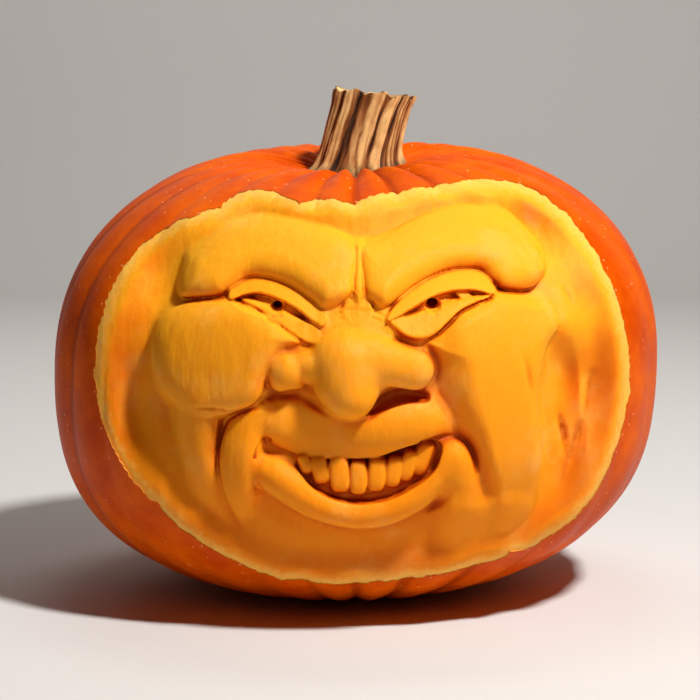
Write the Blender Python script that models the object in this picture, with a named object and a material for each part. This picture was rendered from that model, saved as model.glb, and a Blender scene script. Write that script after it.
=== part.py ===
"""A pumpkin with a snarling face carved in relief into its front, and its stem, as solids.

Lengths named here are in millimetres and become metres where a mesh is made. A "level" is a height above the
pumpkin's middle. The face looks along -Y.
"""

import itertools
import math

import bpy
import numpy as np

MM = 0.001

# The fruit
HALF_WIDTH = 164.0
DEPTH_SHARE = 0.98
CROWN_HEIGHT = 128.5
BASE_DEPTH = 116.5
MIDDLE = 115.0
CROWN_ROUNDNESS = 2.4
BASE_ROUNDNESS = 2.45
TILT = 0.018
SHOULDER_SWELL = 0.02
CROWN_LEAN = 0.08
RIB_COUNT = 26
RIB_DEPTH = 2.6
CROWN_DIP = 18.0
CROWN_DIP_AT = (-4.0, -3.0)
CROWN_DIP_RADIUS = 44.0

# The carving
RIND_CUT = 0.3
BAND_DEPTH = 12.0
BAND_WIDTH = 26.0
FACE_DEPTH = 8.0
PUPILS = ((-38.0, 51.8, 1.5), (38.3, 52.8, 2.0))  # x, level and radius

# The stem
STEM_RADIUS = 21.5
STEM_TAPER = 1.5
STEM_FLUTES = 12
STEM_TOP_HEIGHT = 269.0
STEM_LEAN = 9.5
STEM_OFFSET = 1.5
STEM_TWIST = math.radians(14)
STEM_SUNK = 6.0
STEM_GAP = 0.55
SEAT_DROP = 0.011
STEM_RINGS = (0, 0.06, 0.13, 0.22, 0.35, 0.5, 0.65, 0.8, 0.9, 1)

# How finely the solids are faceted. The points stand a little proud, so that the facets straddle the round.
GRID = 1.0
COARSE_GRID = 1.8
FINE_ANGLE = 0.62
COARSE_ANGLE = 2.4
PUMPKIN_TRIANGLES = 7440
FACET_ALLOWANCE = 0.35


def ease(low, high, value):
    """0 below low, 1 above high, smooth between."""
    t = np.clip((value - low) / (high - low), 0, 1)
    return t * t * (3 - 2 * t)


def curve(points, steps, closed=False):
    """A smooth curve through every point."""
    p = np.array(points, float)
    if closed:
        p = np.vstack([p[-1], p, p[0], p[1]])
    else:
        p = np.vstack([2 * p[0] - p[1], p, 2 * p[-1] - p[-2]])
    t = np.linspace(0, 1, steps, endpoint=False)[:, None]
    spans = []
    for a, b, c, d in zip(p[:-3], p[1:-2], p[2:-1], p[3:]):
        cubic = (2 * a - 5 * b + 4 * c - d) * t**2 + (3 * b - a - 3 * c + d) * t**3
        spans.append(0.5 * (2 * b + (c - a) * t + cubic))
    return np.vstack(spans if closed else spans + [p[-2:-1]])


# ---- the fruit ----


def rib_crown(x, y):
    """0 in the groove between two ribs and 1 on a rib's crown. The ribs differ in width and depth."""
    turn = np.arctan2(x, -y)
    turn = turn - 0.035 + 0.03 * np.sin(3 * turn + 1.0) + 0.02 * np.sin(7 * turn)
    share = 2 * ((turn * RIB_COUNT / (2 * np.pi)) % 1) - 1
    crown = 0.6 * np.sqrt(1 - share**2) + 0.2 + 0.2 * np.cos(np.pi * share)
    return 1 - (1 - crown) * (0.8 + 0.35 * np.sin(3.3 * turn + 0.8))


def skin_shape(level):
    """Half height and roundness of the fruit above or below its widest level."""
    upper = level > 0
    tall = np.where(upper, CROWN_HEIGHT, BASE_DEPTH)
    return tall, np.where(upper, CROWN_ROUNDNESS, BASE_ROUNDNESS)


def upright(x, y, level):
    """The level if the fruit didn't lean: its right side is higher, and its crown drops to the front."""
    return level - TILT * x - CROWN_LEAN * y * ease(20, 90, level)


def above_skin(x, y, level, ribs=1.0):
    """Distance outside the fruit's skin, negative inside."""
    level = upright(x, y, level)
    from_dip = (x - CROWN_DIP_AT[0]) ** 2 + (y - CROWN_DIP_AT[1]) ** 2
    dip = CROWN_DIP * np.exp(-from_dip / CROWN_DIP_RADIUS**2)
    y = y / DEPTH_SHARE
    out = np.hypot(x, y) + 1e-6
    wide = HALF_WIDTH * (1 + SHOULDER_SWELL * np.clip((level + 20) / 90, 0, 1) * np.clip(x / 90, 0, 1))
    tall, power = skin_shape(level)
    up = np.abs(level) + 1e-6
    near_crown = np.clip(1 - out / 95, 0, 1) * np.clip(level / 60, 0, 1)
    groove = ribs * RIB_DEPTH * (1 + 2.5 * near_crown) * np.clip(out / 30, 0, 1) * (1 - rib_crown(x, y))
    size = ((out / wide) ** power + (up / tall) ** power) ** (1 / power)
    slope_out = (out / size) ** (power - 1) / wide**power
    slope_up = (up / size) ** (power - 1) / tall**power
    return (size - 1) / np.hypot(slope_out, slope_up) + groove + np.where(level > 0, dip, 0)


def on_face(x, level, under):
    """The point of the fruit's front that lies this far under the skin."""
    y = -120.0
    for _ in range(4):
        true_level = upright(x, y, level)
        tall, power = skin_shape(true_level)
        share = max(1 - (abs(true_level) / (tall - under)) ** power, 0) ** (1 / power)
        y = -DEPTH_SHARE * math.sqrt(max(((HALF_WIDTH - under) * share) ** 2 - x**2, 1))
    return np.array([x, y, level])


def skin_height(x, y, ribs=1.0):
    """The level of the crown's skin straight above a point."""
    level = np.full(np.shape(x), CROWN_HEIGHT - 10)
    for _ in range(20):
        level = level - above_skin(x, y, level, ribs)
    return level


# ---- outlines and bands, seen from the front ----


def inside(edge, x, level):
    """Distance in from a closed outline, negative outside it."""
    nearest = np.full(np.broadcast(x, level).shape, 1e9)
    within = np.zeros(nearest.shape, bool)
    for (ax, az), (bx, bz) in zip(edge, np.roll(edge, -1, 0)):
        dx, dz = bx - ax, bz - az
        t = np.clip(((x - ax) * dx + (level - az) * dz) / (dx * dx + dz * dz), 0, 1)
        nearest = np.minimum(nearest, (x - ax - t * dx) ** 2 + (level - az - t * dz) ** 2)
        if dz:
            within ^= ((az <= level) != (bz <= level)) & (x < ax + (level - az) * dx / dz)
    return np.where(within, 1, -1) * np.sqrt(nearest)


def along(points, x, level):
    """Distance out from a band through points of (x, level, half width, depth), and its depth there."""
    line = curve(points, 6)
    nearest = np.full(np.broadcast(x, level).shape, 1e9)
    depth = np.zeros(nearest.shape)
    for (ax, az, ar, ad), (bx, bz, br, bd) in zip(line, line[1:]):
        dx, dz = bx - ax, bz - az
        t = np.clip(((x - ax) * dx + (level - az) * dz) / (dx * dx + dz * dz + 1e-9), 0, 1)
        gap = np.hypot(x - ax - t * dx, level - az - t * dz) - ar - t * (br - ar)
        depth = np.where(gap < nearest, ad + t * (bd - ad), depth)
        nearest = np.minimum(gap, nearest)
    return nearest, depth


def rind_edges():
    """The cut edge of the rind, a wide oval that is higher on the right. First it's smooth, then as cut:
    ragged, with a bite where it meets some of the grooves."""
    corners = [
        (-2, 103), (23, 107), (48, 110), (77, 110), (99, 102), (119, 82), (135, 50), (142, 11), (136, -22),
        (120, -54), (94, -74), (66, -82), (23, -89), (-5, -91), (-38, -88), (-68, -74), (-95, -55),
        (-114, -35), (-128, -10), (-132, 18), (-127, 48), (-115, 71), (-98, 86), (-78, 95), (-53, 106),
        (-27, 103),
    ]
    bites = [
        (-70, 100, 3), (-28, 103, 3.5), (0, 103, 4), (23, 107, 2.5), (42, 110, 3), (82, -79, 5),
        (-101, -50, 3), (-27, -90, 2), (13, -90, 2),
    ]
    edge = curve(corners, 24, closed=True)
    middle = np.array([2.0, 8.0])
    turn = np.arctan2(edge[:, 1] - middle[1], edge[:, 0] - middle[0])
    nicks = (np.sin(41 * turn) + np.sin(67 * turn + 1)) * np.sin(5 * turn + 2)
    fine = np.sin(151 * turn + 4 * np.sin(11 * turn)) * (0.5 + 0.5 * np.sin(9 * turn + 1))
    inward = 0.4 * nicks + 0.35 * fine + 0.2 * np.sin(233 * turn + 3 * np.sin(19 * turn))
    for x, level, deep in bites:
        inward = inward + deep * np.exp(-np.hypot(edge[:, 0] - x, edge[:, 1] - level) / 3.5)
    to_middle = (middle - edge) / np.linalg.norm(middle - edge, axis=1)[:, None]
    return edge[::4], edge + to_middle * inward[:, None]


SMOOTH_EDGE, RIND_EDGE = rind_edges()


# ---- carving the flesh ----


class Relief:
    """How deep the surface lies under the skin, seen from the front: every form that doesn't overhang."""

    def __init__(self, x, level):
        self.x, self.level = x, level
        edge = inside(SMOOTH_EDGE, x, level)
        self.depth = RIND_CUT + BAND_DEPTH * ease(0, BAND_WIDTH, edge) ** 0.9
        self.depth = self.depth + FACE_DEPTH * ease(20, 44, edge)

    def raise_to(self, form, soft):
        share = np.clip(0.5 + 0.5 * (self.depth - form) / soft, 0, 1)
        self.depth = self.depth * (1 - share) + form * share - soft * share * (1 - share)

    def sink_to(self, form, soft):
        share = np.clip(0.5 - 0.5 * (self.depth - form) / soft, 0, 1)
        self.depth = self.depth * (1 - share) + form * share + soft * share * (1 - share)

    def gap(self, corners):
        return inside(curve(corners, 6, closed=True), self.x, self.level)

    def turned(self, at, size, turn):
        """Position in the frame of a form at a point, turned, as shares of its half sizes."""
        c, s = math.cos(math.radians(turn)), math.sin(math.radians(turn))
        across, up = self.x - at[0], self.level - at[1]
        return (across * c + up * s) / size[0], (up * c - across * s) / size[1]

    def sink(self, at, size, deep, turn=0.0):
        """A soft hollow, or with a negative depth a soft swelling."""
        u, v = self.turned(at, size, turn)
        self.depth = self.depth + deep * np.exp(-(u**2) - v**2)

    def lay(self, gap, crest, rise, shoulder, soft, fall=1.6, gentle=0.0):
        """Lays a form over what is there. gap is the distance in from its edge. Its shoulder is round or,
        as far as gentle says, runs out softly."""
        t = 1 - np.clip(gap / shoulder, 0, 1)
        form = crest + rise * (gentle * t**2 + (1 - gentle) * (1 - np.sqrt(1 - t**2)))
        self.raise_to(form - fall * np.minimum(gap, 0), soft)

    def pad(self, corners, crest, rise, shoulder, soft, fall=1.6, gentle=0.0):
        self.lay(self.gap(corners), crest, rise, shoulder, soft, fall, gentle)

    def fold(self, points, rise, shoulder, soft, gentle=0.0):
        """A fold of flesh through points of (x, level, half width, depth of its crest)."""
        gap, crest = along(points, self.x, self.level)
        self.lay(-gap, crest, rise, shoulder, soft, 1.6, gentle)

    def dome(self, at, size, crest, turn=0.0):
        """A rounded swelling with half sizes (wide, tall, deep)."""
        u, v = self.turned(at, size, turn)
        out = np.hypot(u, v)
        form = crest + size[2] * (1 - np.sqrt(1 - np.minimum(out, 1) ** 2))
        self.raise_to(form + 3 * size[1] * np.maximum(out - 1, 0), 0.4)

    def dig(self, corners, deep, slope, soft):
        """A hole with steep walls and a flat floor."""
        self.sink_to(deep + slope * np.minimum(self.gap(corners), 0), soft)

    def crease(self, points):
        """A knife cut through points of (x, level, half width, depth of the cut)."""
        line = [(x, level, 0, deep) for x, level, _, deep in points]
        gap, deep = along(line, self.x, self.level)
        wide = max(point[2] for point in points)
        self.depth = self.depth + deep * np.clip(1 - gap / wide, 0, 1) ** 1.6


def ticks(low, high, fine_from, fine_to, fine, coarse):
    """Positions along one side of the block, close together over the features and wider apart beyond."""
    found = [low]
    while found[-1] < high:
        beyond = max(fine_from - found[-1], found[-1] - fine_to, 0)
        found.append(found[-1] + fine + (coarse - fine) * min(beyond / 12, 1))
    return np.array(found)


class Block:
    """The flesh as distances outside its surface, on a grid. Forms are joined to it or cut from it."""

    def __init__(self, fine, coarse):
        self.x = ticks(-150, 160, -72, 80, fine, coarse)
        self.y = ticks(-172, -26, -166, -85, fine, coarse)
        self.z = ticks(-106, 126, -72, 88, fine, coarse)
        across, level = np.meshgrid(self.x, self.z, indexing="ij")
        relief = Relief(across, level)
        shape_cheeks(relief)
        shape_brows(relief)
        shape_eyes(relief)
        slopes = np.gradient(relief.depth, self.x, self.z)
        steep = np.sqrt(1 + slopes[0] ** 2 + slopes[1] ** 2)
        ribs = 1 - ease(1, 9, inside(SMOOTH_EDGE, across, level))[:, None, :]
        skin = above_skin(self.x[:, None, None], self.y[None, :, None], self.z[None, None, :], ribs)
        self.far = ((skin + relief.depth[:, None, :]) / steep[:, None, :]).astype(np.float32)

    def sample(self, points):
        """The distance at each point, straight-line between the grid's own."""
        cells, parts = [], []
        for side, value in zip((self.x, self.y, self.z), points.T):
            cell = np.clip(np.searchsorted(side, value) - 1, 0, len(side) - 2)
            cells.append(cell)
            parts.append(np.clip((value - side[cell]) / (side[cell + 1] - side[cell]), 0, 1))
        total = np.zeros(len(points))
        for i, j, k in itertools.product((0, 1), repeat=3):
            weight = abs(1 - i - parts[0]) * abs(1 - j - parts[1]) * abs(1 - k - parts[2])
            total += weight * self.far[cells[0] + i, cells[1] + j, cells[2] + k]
        return total

    def blend(self, low, high, soft, shape, cut):
        """Joins or cuts a shape, whose distances come from shape(x, y, z), with an edge rounded over soft."""
        part = tuple(
            slice(np.searchsorted(side, a - soft - 2), np.searchsorted(side, b + soft + 2) + 1)
            for side, a, b in zip((self.x, self.y, self.z), low, high)
        )
        x, y, z = (side[cells].astype(np.float32) for side, cells in zip((self.x, self.y, self.z), part))
        other = shape(x[:, None, None], y[None, :, None], z[None, None, :]).astype(np.float32)
        mine = self.far[part]
        if cut:
            share = np.clip(0.5 - 0.5 * (mine + other) / soft, 0, 1)
            self.far[part] = mine * (1 - share) - other * share + soft * share * (1 - share)
        else:
            share = np.clip(0.5 + 0.5 * (mine - other) / soft, 0, 1)
            self.far[part] = mine * (1 - share) + other * share - soft * share * (1 - share)

    def roll(self, points, soft, cut=False, deep=1.0):
        """A tapering roll of flesh through points of (x, level, depth of its crest, radius). A cut has the
        depth of its bottom in that place. deep stretches or flattens the roll from front to back."""
        ends = []
        for x, level, under, radius in points:
            ends.append([*on_face(x, level, under + radius * deep * (-1 if cut else 1)), radius])
        line = curve(ends, 7)
        centre, radius = line[:, :3], np.maximum(line[:, 3], 0.2)
        margin = radius[:, None] * [1, deep, 1]

        def shape(x, y, z):
            nearest = None
            for a, b, r, s in zip(centre[:-1], centre[1:], radius[:-1], radius[1:]):
                way = (b - a) * [1, 1 / deep, 1]
                px, py, pz = x - a[0], (y - a[1]) / deep, z - a[2]
                t = np.clip((px * way[0] + py * way[1] + pz * way[2]) / (way @ way + 1e-9), 0, 1)
                gap = np.sqrt((px - t * way[0]) ** 2 + (py - t * way[1]) ** 2 + (pz - t * way[2]) ** 2)
                gap = gap - (r + (s - r) * t)
                nearest = gap if nearest is None else np.minimum(nearest, gap)
            return nearest * min(deep, 1)

        self.blend((centre - margin).min(0), (centre + margin).max(0), soft, shape, cut)

    def ball(self, x, level, under, size, soft, turn=0.0, box=2.0):
        """A ball of flesh with half sizes (wide, deep, tall), turned in its own plane. box squares it."""
        middle = on_face(x, level, under + size[1])
        wide, deep, tall = size
        c, s = math.cos(math.radians(turn)), math.sin(math.radians(turn))

        def shape(x, y, z):
            x, y, z = x - middle[0], y - middle[1], z - middle[2]
            u = np.abs(x * c + z * s) / wide + 1e-6
            v = np.abs(z * c - x * s) / tall + 1e-6
            w = np.abs(y) / deep + 1e-6
            reach = (u**box + v**box + w**box) ** (1 / box)
            sides = (u ** (box - 1) / wide) ** 2 + (v ** (box - 1) / tall) ** 2
            slope = np.sqrt(sides + (w ** (box - 1) / deep) ** 2)
            return (reach - 1) * reach ** (box - 1) / (slope + 1e-6)

        self.blend(middle - max(size), middle + max(size), soft, shape, False)


def shape_cheeks(relief):
    """The cheeks, the folds beside the mouth and the hollows round them."""
    x, level = relief.x, relief.level
    relief.sink((108, 12), (10, 12), 3.2, 10)
    relief.sink((109, -10), (10, 15), 2.8)
    relief.sink((104, -32), (9, 16), 2.5)
    relief.sink((124, 6), (6, 26), 1.2)
    relief.sink((116, -2), (3, 22), -1.2, 6)
    relief.sink((57, 2), (5, 18), 3, 15)
    relief.sink((65, -26), (4, 14), 2, 15)
    relief.sink((92, 88), (10, 15), 2, 35)
    relief.sink((-98, 60), (10, 19), 2.5)
    relief.sink((-112, -8), (9, 26), 3)
    relief.sink((105, 40), (14, 12), -5)
    middle = 1 - ease(30, 50, x)
    chin = 9 + 13 * middle * ease(-92, -62, level) + 5 * (1 - middle) * ease(-50, -36, level)
    relief.pad(
        [(-58, -50), (-60, -64), (-42, -82), (-5, -89), (30, -84), (62, -78), (84, -68), (88, -50),
         (74, -36), (54, -40), (36, -52), (0, -54)],
        chin, rise=2, shoulder=12, soft=6,
    )
    relief.pad(
        [(-102, 30), (-97, 44), (-83, 52), (-61, 55), (-47, 53), (-36, 44), (-26, 36), (-35, 31),
         (-42, 19), (-48, 6), (-63, -1), (-80, -3), (-97, 9)],
        4.5, rise=8, shoulder=12, soft=3,
    )
    inner = (1 - ease(44, 84, x)) * (1 - ease(22, 46, level))
    low = 1 - ease(-62, -22, level)
    relief.pad(
        [(34, 36), (41, 40), (47, 45), (53, 50), (61, 53.5), (69, 58), (82, 57), (97, 52), (103, 40),
         (96, 28), (92, 6), (94, -16), (95, -34), (91, -54), (80, -66), (71, -62), (66, -48), (60, -30),
         (54, -16), (47, -4), (42, 9), (39, 20), (36, 28)],
        5.5 + 3.5 * (1 - ease(-55, -20, level)), rise=10 + (3 - 9 * low) * inner, shoulder=7 + 22 * inner,
        soft=2.5 + 6 * (1 - ease(-48, -18, level)), fall=1.6 - inner, gentle=inner,
    )
    relief.fold(
        [(-79, 10, 12, 6), (-78, -4, 11, 7), (-77, -24, 9, 7.5), (-73, -42, 8, 8.5), (-56, -69, 2, 11)],
        rise=6, shoulder=10, soft=4, gentle=0.3,
    )
    relief.fold(
        [(-46, 2, 6, 12), (-54, -8, 8.5, 10), (-58, -24, 10, 8.5), (-58, -42, 8.5, 9), (-54, -62, 4, 12)],
        rise=5, shoulder=8, soft=2.5, gentle=0.5,
    )
    relief.crease(
        [(-40, 2, 1.8, 0.3), (-50, 2.5, 1.8, 0.8), (-58, -1, 1.8, 1.4), (-64, -8, 1.8, 1.5),
         (-67, -17, 1.8, 1.5), (-67.5, -28, 1.8, 1.2), (-64, -45, 1.8, 1), (-57, -60, 1.8, 0.3)]
    )
    relief.crease([(-79, 2, 1.8, 0.3), (-70, 2.5, 1.8, 1.5), (-60, 1, 1.8, 2), (-55, 3, 1.8, 0.5)])
    relief.crease([(83, 27, 3, 0.3), (86, 16, 3, 2), (88, 3, 3, 0.3)])
    relief.crease([(103, -4, 4, 0.3), (106, -16, 4, 2.6), (109, -29, 4, 0.5)])
    relief.crease([(106, 60, 2, 0.2), (108, 54, 2, 1), (112, 47, 2, 0.2)])
    relief.crease([(121, 12, 6, 1), (118, -6, 6, 1.6), (112, -24, 6, 1.6), (106, -40, 6, 0.5)])


def shape_brows(relief):
    """The two brows, steep over the eyes and soft on top, with the frown between them."""
    x, level = relief.x, relief.level
    left_brow = [
        (-78, 84), (-70, 92), (-58, 96), (-42, 98), (-27, 96), (-15, 92), (-5, 85), (0.5, 78), (0.5, 66),
        (-1, 58), (-6, 52.5), (-12, 50), (-17, 50.5), (-22, 54.5), (-32, 60.5), (-42, 63.5), (-52, 63.5),
        (-60, 58.5), (-68, 54), (-87, 53), (-90, 64), (-87, 76),
    ]
    right_brow = [
        (3.5, 78), (9, 81), (15, 84), (23, 89), (33, 95), (43, 99), (53, 102), (64, 102), (72, 100.5),
        (79, 96.5), (84, 90), (90, 82), (95, 74), (97.5, 67), (94, 61), (88, 58), (81, 56.5), (73, 58),
        (67, 62.5), (62, 67.5), (52, 68), (42, 66), (32, 61.5), (24, 56), (17, 51), (11, 51), (6, 57),
        (4, 66),
    ]
    left_middle = np.interp(x, [-70, -45, -5], [72, 82, 70])
    right_middle = np.interp(x, [8, 32, 55, 80, 95], [68, 79, 86, 76, 68])
    frown = np.exp(-(((x - 2) / 12) ** 2)) * ease(50, 62, level)
    for corners, middle in ((left_brow, left_middle), (right_brow, right_middle)):
        top = ease(-7, 9, level - middle)
        relief.pad(
            corners, 2.5, rise=(15 - 8 * top) * (1 - 0.55 * frown), shoulder=16 - 9 * frown - 3 * top,
            soft=1.5, gentle=0.15 + 0.2 * top,
        )
    relief.pad([(-19, 52), (0, 55), (19, 52), (24, 40), (0, 36), (-24, 38)], 11.5, rise=3, shoulder=6, soft=3)
    relief.crease([(-14, 47, 1.2, 0.3), (-5, 50, 1.2, 1.2), (8, 50, 1.2, 1.2), (17, 47, 1.2, 0.3)])
    relief.crease([(-12, 44.5, 1.2, 0.3), (-4, 47.3, 1.2, 1), (7, 47.3, 1.2, 1), (14, 45, 1.2, 0.3)])
    relief.fold(
        [(2, 80, 1.2, 4), (2, 66, 1.6, 4.5), (2, 59, 2.8, 6.5), (1.5, 51, 8, 11)],
        rise=1.2, shoulder=1.5, soft=0.6,
    )


def shape_eyes(relief):
    """Each eye is a socket cut under the brow, with a ball, an upper lid and a lower lid laid into it."""
    x, level = relief.x, relief.level
    relief.dig(
        [(19, 46), (25, 52), (33, 57), (42, 61), (52, 63.5), (60, 64), (66, 58), (57, 55), (47, 53),
         (37, 50), (27, 47)],
        20, slope=3, soft=0.5,
    )
    relief.dome((38, 53.5), (17, 8.5, 5), 14, turn=12)
    relief.pad([(49, 60), (54, 60.5), (57.5, 56), (54, 54)], 11.5, rise=0.5, shoulder=0.6, soft=0.3, fall=3)
    relief.pad([(60, 60), (69, 58), (68, 55), (60, 55)], 12.5, rise=0.5, shoulder=0.6, soft=0.3, fall=3)
    low = np.interp(x, [20, 26, 34, 42, 51, 60, 69], [47.5, 51, 55.3, 58.6, 60, 59.5, 57.5])
    relief.pad(
        [(16, 47), (22, 56), (31, 62.5), (42, 67), (52, 69.5), (60, 70), (66, 67), (69.5, 57.5),
         (60, 59.5), (51, 60), (42, 58.6), (34, 55.3), (26, 51), (20, 47.5)],
        8 + 0.45 * (level - low), rise=0.6, shoulder=0.8, soft=0.3, fall=3,
    )
    low = np.interp(x, [17, 21, 27, 34, 40, 46, 52, 60, 68], [45, 41.5, 38, 37.5, 40, 45, 50, 53.5, 57])
    relief.pad(
        [(17, 46), (20, 47.2), (27, 48.2), (37, 51), (47, 53.7), (57, 55.5), (68, 56.5), (60, 53.5),
         (52, 50), (46, 45), (40, 40), (34, 37.5), (27, 38), (21, 41.5)],
        8.5 + 0.25 * (level - low), rise=1, shoulder=1.4, soft=0.3, fall=3,
    )
    relief.crease(
        [(19, 46, 2, 0.4), (20.5, 42, 2, 0.7), (26, 37.8, 2, 0.9), (34, 37, 2, 0.9), (41, 40, 2, 0.9),
         (47, 45, 2, 0.8), (53, 50, 2, 0.7), (62, 54, 2, 0.3)]
    )
    relief.dig(
        [(-57, 56), (-54, 59.5), (-49, 61), (-42, 60.5), (-34, 57), (-27, 53), (-20, 47), (-18, 43),
         (-27, 46), (-37, 50), (-46, 52), (-53, 54)],
        19, slope=3, soft=0.5,
    )
    relief.dome((-38, 51.5), (13, 6.5, 4), 13.5, turn=-22)
    low = np.interp(x, [-55, -49, -42, -34, -27, -19], [57, 58.3, 57.3, 54.4, 50.8, 45])
    relief.pad(
        [(-62, 55), (-60, 65), (-50, 70), (-40, 69.5), (-29, 66), (-21, 60), (-13, 53), (-15, 44),
         (-19, 45), (-27, 50.8), (-34, 54.4), (-42, 57.3), (-49, 58.3), (-55, 57)],
        9.5 + 0.35 * (level - low), rise=0.6, shoulder=0.8, soft=0.3, fall=3,
    )
    low = np.interp(x, [-52, -46, -38, -30, -22, -17], [51.5, 49, 44.5, 39, 35, 36])
    relief.pad(
        [(-55, 54.5), (-46, 52.5), (-37, 50.3), (-27, 46.3), (-17, 41.5), (-17, 36), (-22, 35),
         (-30, 39), (-38, 44.5), (-46, 49), (-52, 51.5)],
        9.5 + 0.3 * (level - low), rise=1.2, shoulder=1.5, soft=0.4, fall=2,
    )
    relief.crease(
        [(-97, 44, 1.3, 0.3), (-90, 49, 1.3, 1), (-82, 52, 1.3, 1), (-61, 54, 1.3, 1.5), (-50, 51.5, 1.3, 2),
         (-39, 44.5, 1.3, 2), (-30, 38.5, 1.3, 2.2), (-22, 34.5, 1.3, 1.5), (-16, 35, 1.3, 0.3)]
    )
    for across, up, radius in PUPILS:
        out = np.hypot((x - across) / 1.2, level - up)
        relief.sink_to(26 - 8 * np.maximum(out - radius + 0.3, 0), 0.3)


def carve_mouth(flesh):
    """The muzzle, the lower lip and the lit side of the chin, the slot between them and eight teeth."""
    flesh.roll(
        [(-46, -4, 17, 8), (-38, -5, 14.5, 10.5), (-28, -6.5, 17, 12), (-14, -8, 18.5, 13), (-2, -8, 17.5, 14),
         (8, -7.5, 14, 14), (18, -6, 12, 14), (30, -4, 11.5, 12.5), (40, -5, 16, 10)],
        3, deep=0.7,
    )
    flesh.roll([(-32, 1, 17, 9), (0, 2, 17.5, 9), (33, 1, 17, 9)], 4, deep=0.8)
    flesh.roll(
        [(-49, -27, 12, 6), (-41, -30, 9.5, 9.5), (-32, -35.5, 8, 10), (-22, -43, 7.5, 9), (-10, -48, 7, 8.5),
         (3, -50, 7, 8.5), (16, -48, 7, 8.5), (30, -41, 8, 8.5), (40, -30, 9.5, 9), (48, -23, 10, 9)],
        3, deep=1.2,
    )
    flesh.roll([(48, -23, 9.5, 9), (51, -33, 9, 11), (51, -48, 9.5, 12), (46, -64, 11, 12)], 5, deep=0.8)
    flesh.ball(44, -57, 13, (9, 8, 8), 4)
    flesh.roll(
        [(-25, -26, 28, 4.5), (-17, -30.5, 30, 7.5), (-7, -32.8, 31, 10.5), (3, -34, 31, 11.6),
         (15, -32.3, 31, 11), (25, -27.5, 30, 10.5), (32, -23.5, 29, 9), (38, -19, 26, 5.5)],
        0.8, cut=True, deep=1.4,
    )
    flesh.roll(
        [(-25, -23, 22, 1.2), (-34, -20, 21, 1.3), (-41, -17, 20, 1.3), (-44, -13, 19, 1.2)],
        1, cut=True, deep=3,
    )
    flesh.roll([(-42, -13, 19, 1.4), (-46.5, -16.5, 15, 1.2), (-49.5, -22, 13, 0.8)], 1, cut=True)
    flesh.roll(
        [(33, -14, 19, 1.2), (44, -12, 18, 1.3), (53, -13.5, 17, 1.4), (58, -20, 16, 1.3),
         (61, -30, 12, 1.2)],
        1, cut=True, deep=3,
    )
    flesh.roll(
        [(-26, -26, 20, 5), (-8, -33, 19.5, 8), (3, -34, 19.5, 9), (16, -32, 19.5, 8.5),
         (28, -27, 19.5, 8), (39, -18, 19.5, 6)],
        2, deep=0.7,
    )
    for x, level, wide, tall, turn in (
        (-24.5, -25.5, 7, 11, 16),
        (-17, -28.3, 9.2, 15, 10),
        (-7.4, -30.5, 10.6, 19, 4),
        (1.9, -32, 9.2, 18, 0),
        (10.9, -30.4, 9.6, 18, -4),
        (19.3, -29.2, 8.8, 16.5, -9),
        (26.4, -26.2, 8.2, 17, -14),
        (33.6, -22.6, 9.6, 19, -18),
    ):
        flesh.ball(x, level, 15.5 + abs(x - 4) * 0.04, (wide / 2, 7, tall / 2), 0.4, turn=turn, box=3.6)
    flesh.roll(
        [(-24, -34, 20, 2.4), (-10, -41, 18.5, 3.2), (2, -43.5, 18.5, 3.2), (15, -41.5, 18.5, 3.2),
         (26, -36.5, 19.5, 3), (35, -29, 21, 2.4)],
        1.2,
    )


def carve_nose(flesh):
    """The bridge, the ball of the nose, its two wings and the hollows under them."""
    flesh.roll([(-16, 40, 14, 6), (0, 39, 11, 6), (17, 40, 13, 6), (30, 33, 13, 7)], 4)
    flesh.roll([(-18, 40, 13, 6), (-30, 33, 12, 6), (-40, 24, 13, 4)], 4)
    flesh.roll([(-31, 24, 9, 9), (-16, 24, 7, 9)], 3)
    flesh.ball(-33, 21.5, 5.5, (12, 14, 12), 1)
    flesh.roll([(4, 26, 3, 16), (18, 25, 5, 11.5), (28, 22, 6.5, 11)], 3)
    flesh.ball(-3.5, 25.5, 0.9, (22, 25, 19), 1.2)
    flesh.roll([(-3.5, 18, 1, 18), (-2, 11, 1.2, 13)], 3)
    for under_wing, deep in (
        ([(8, 1.5, 22, 2.5), (16, 6.5, 27, 4.3), (25, 9, 27, 4.2), (34, 8, 23, 2.6)], 1.8),
        ([(-39, 8, 17, 1.5), (-29, 9.5, 20, 3.2), (-20, 5, 20, 3.2), (-13, -1, 17, 1.5)], 2),
    ):
        flesh.roll(under_wing, 1.5, cut=True, deep=deep)


# ---- the solids ----


def solid_distance(block, points):
    """Distance outside the carved pumpkin."""
    skin = above_skin(*points.T)
    carved = (inside(SMOOTH_EDGE, points[:, 0], points[:, 2]) > 0) & (points[:, 1] < -30)
    return np.where(carved, np.maximum(skin, block.sample(points)), skin)


def pumpkin_points(block, ways):
    """Where each way out from the pumpkin's middle leaves the solid for the last time."""
    reach = np.full(len(ways), HALF_WIDTH)
    for _ in range(30):
        reach -= 0.8 * above_skin(*(ways * reach[:, None]).T)
    for _ in range(60):
        out = solid_distance(block, ways * reach[:, None])
        reach -= np.where(out > 0, np.clip(out * 0.7, 0.05, 1.0), 0)
    return ways * (reach + FACET_ALLOWANCE)[:, None]


def angles(low, high, fine_from, fine_to):
    return np.radians(ticks(low, high, fine_from, fine_to, FINE_ANGLE, COARSE_ANGLE)[:-1])


def mesh_object(name, points, faces, colour, roughness):
    mesh = bpy.data.meshes.new(name)
    mesh.from_pydata([tuple(p) for p in points * MM], [], faces)
    mesh.validate()
    material = bpy.data.materials.new(name)
    material.use_nodes = True
    shader = material.node_tree.nodes["Principled BSDF"]
    shader.inputs["Base Color"].default_value = colour
    shader.inputs["Roughness"].default_value = roughness
    mesh.materials.append(material)
    made = bpy.data.objects.new(name, mesh)
    bpy.context.scene.collection.objects.link(made)
    return made


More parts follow.
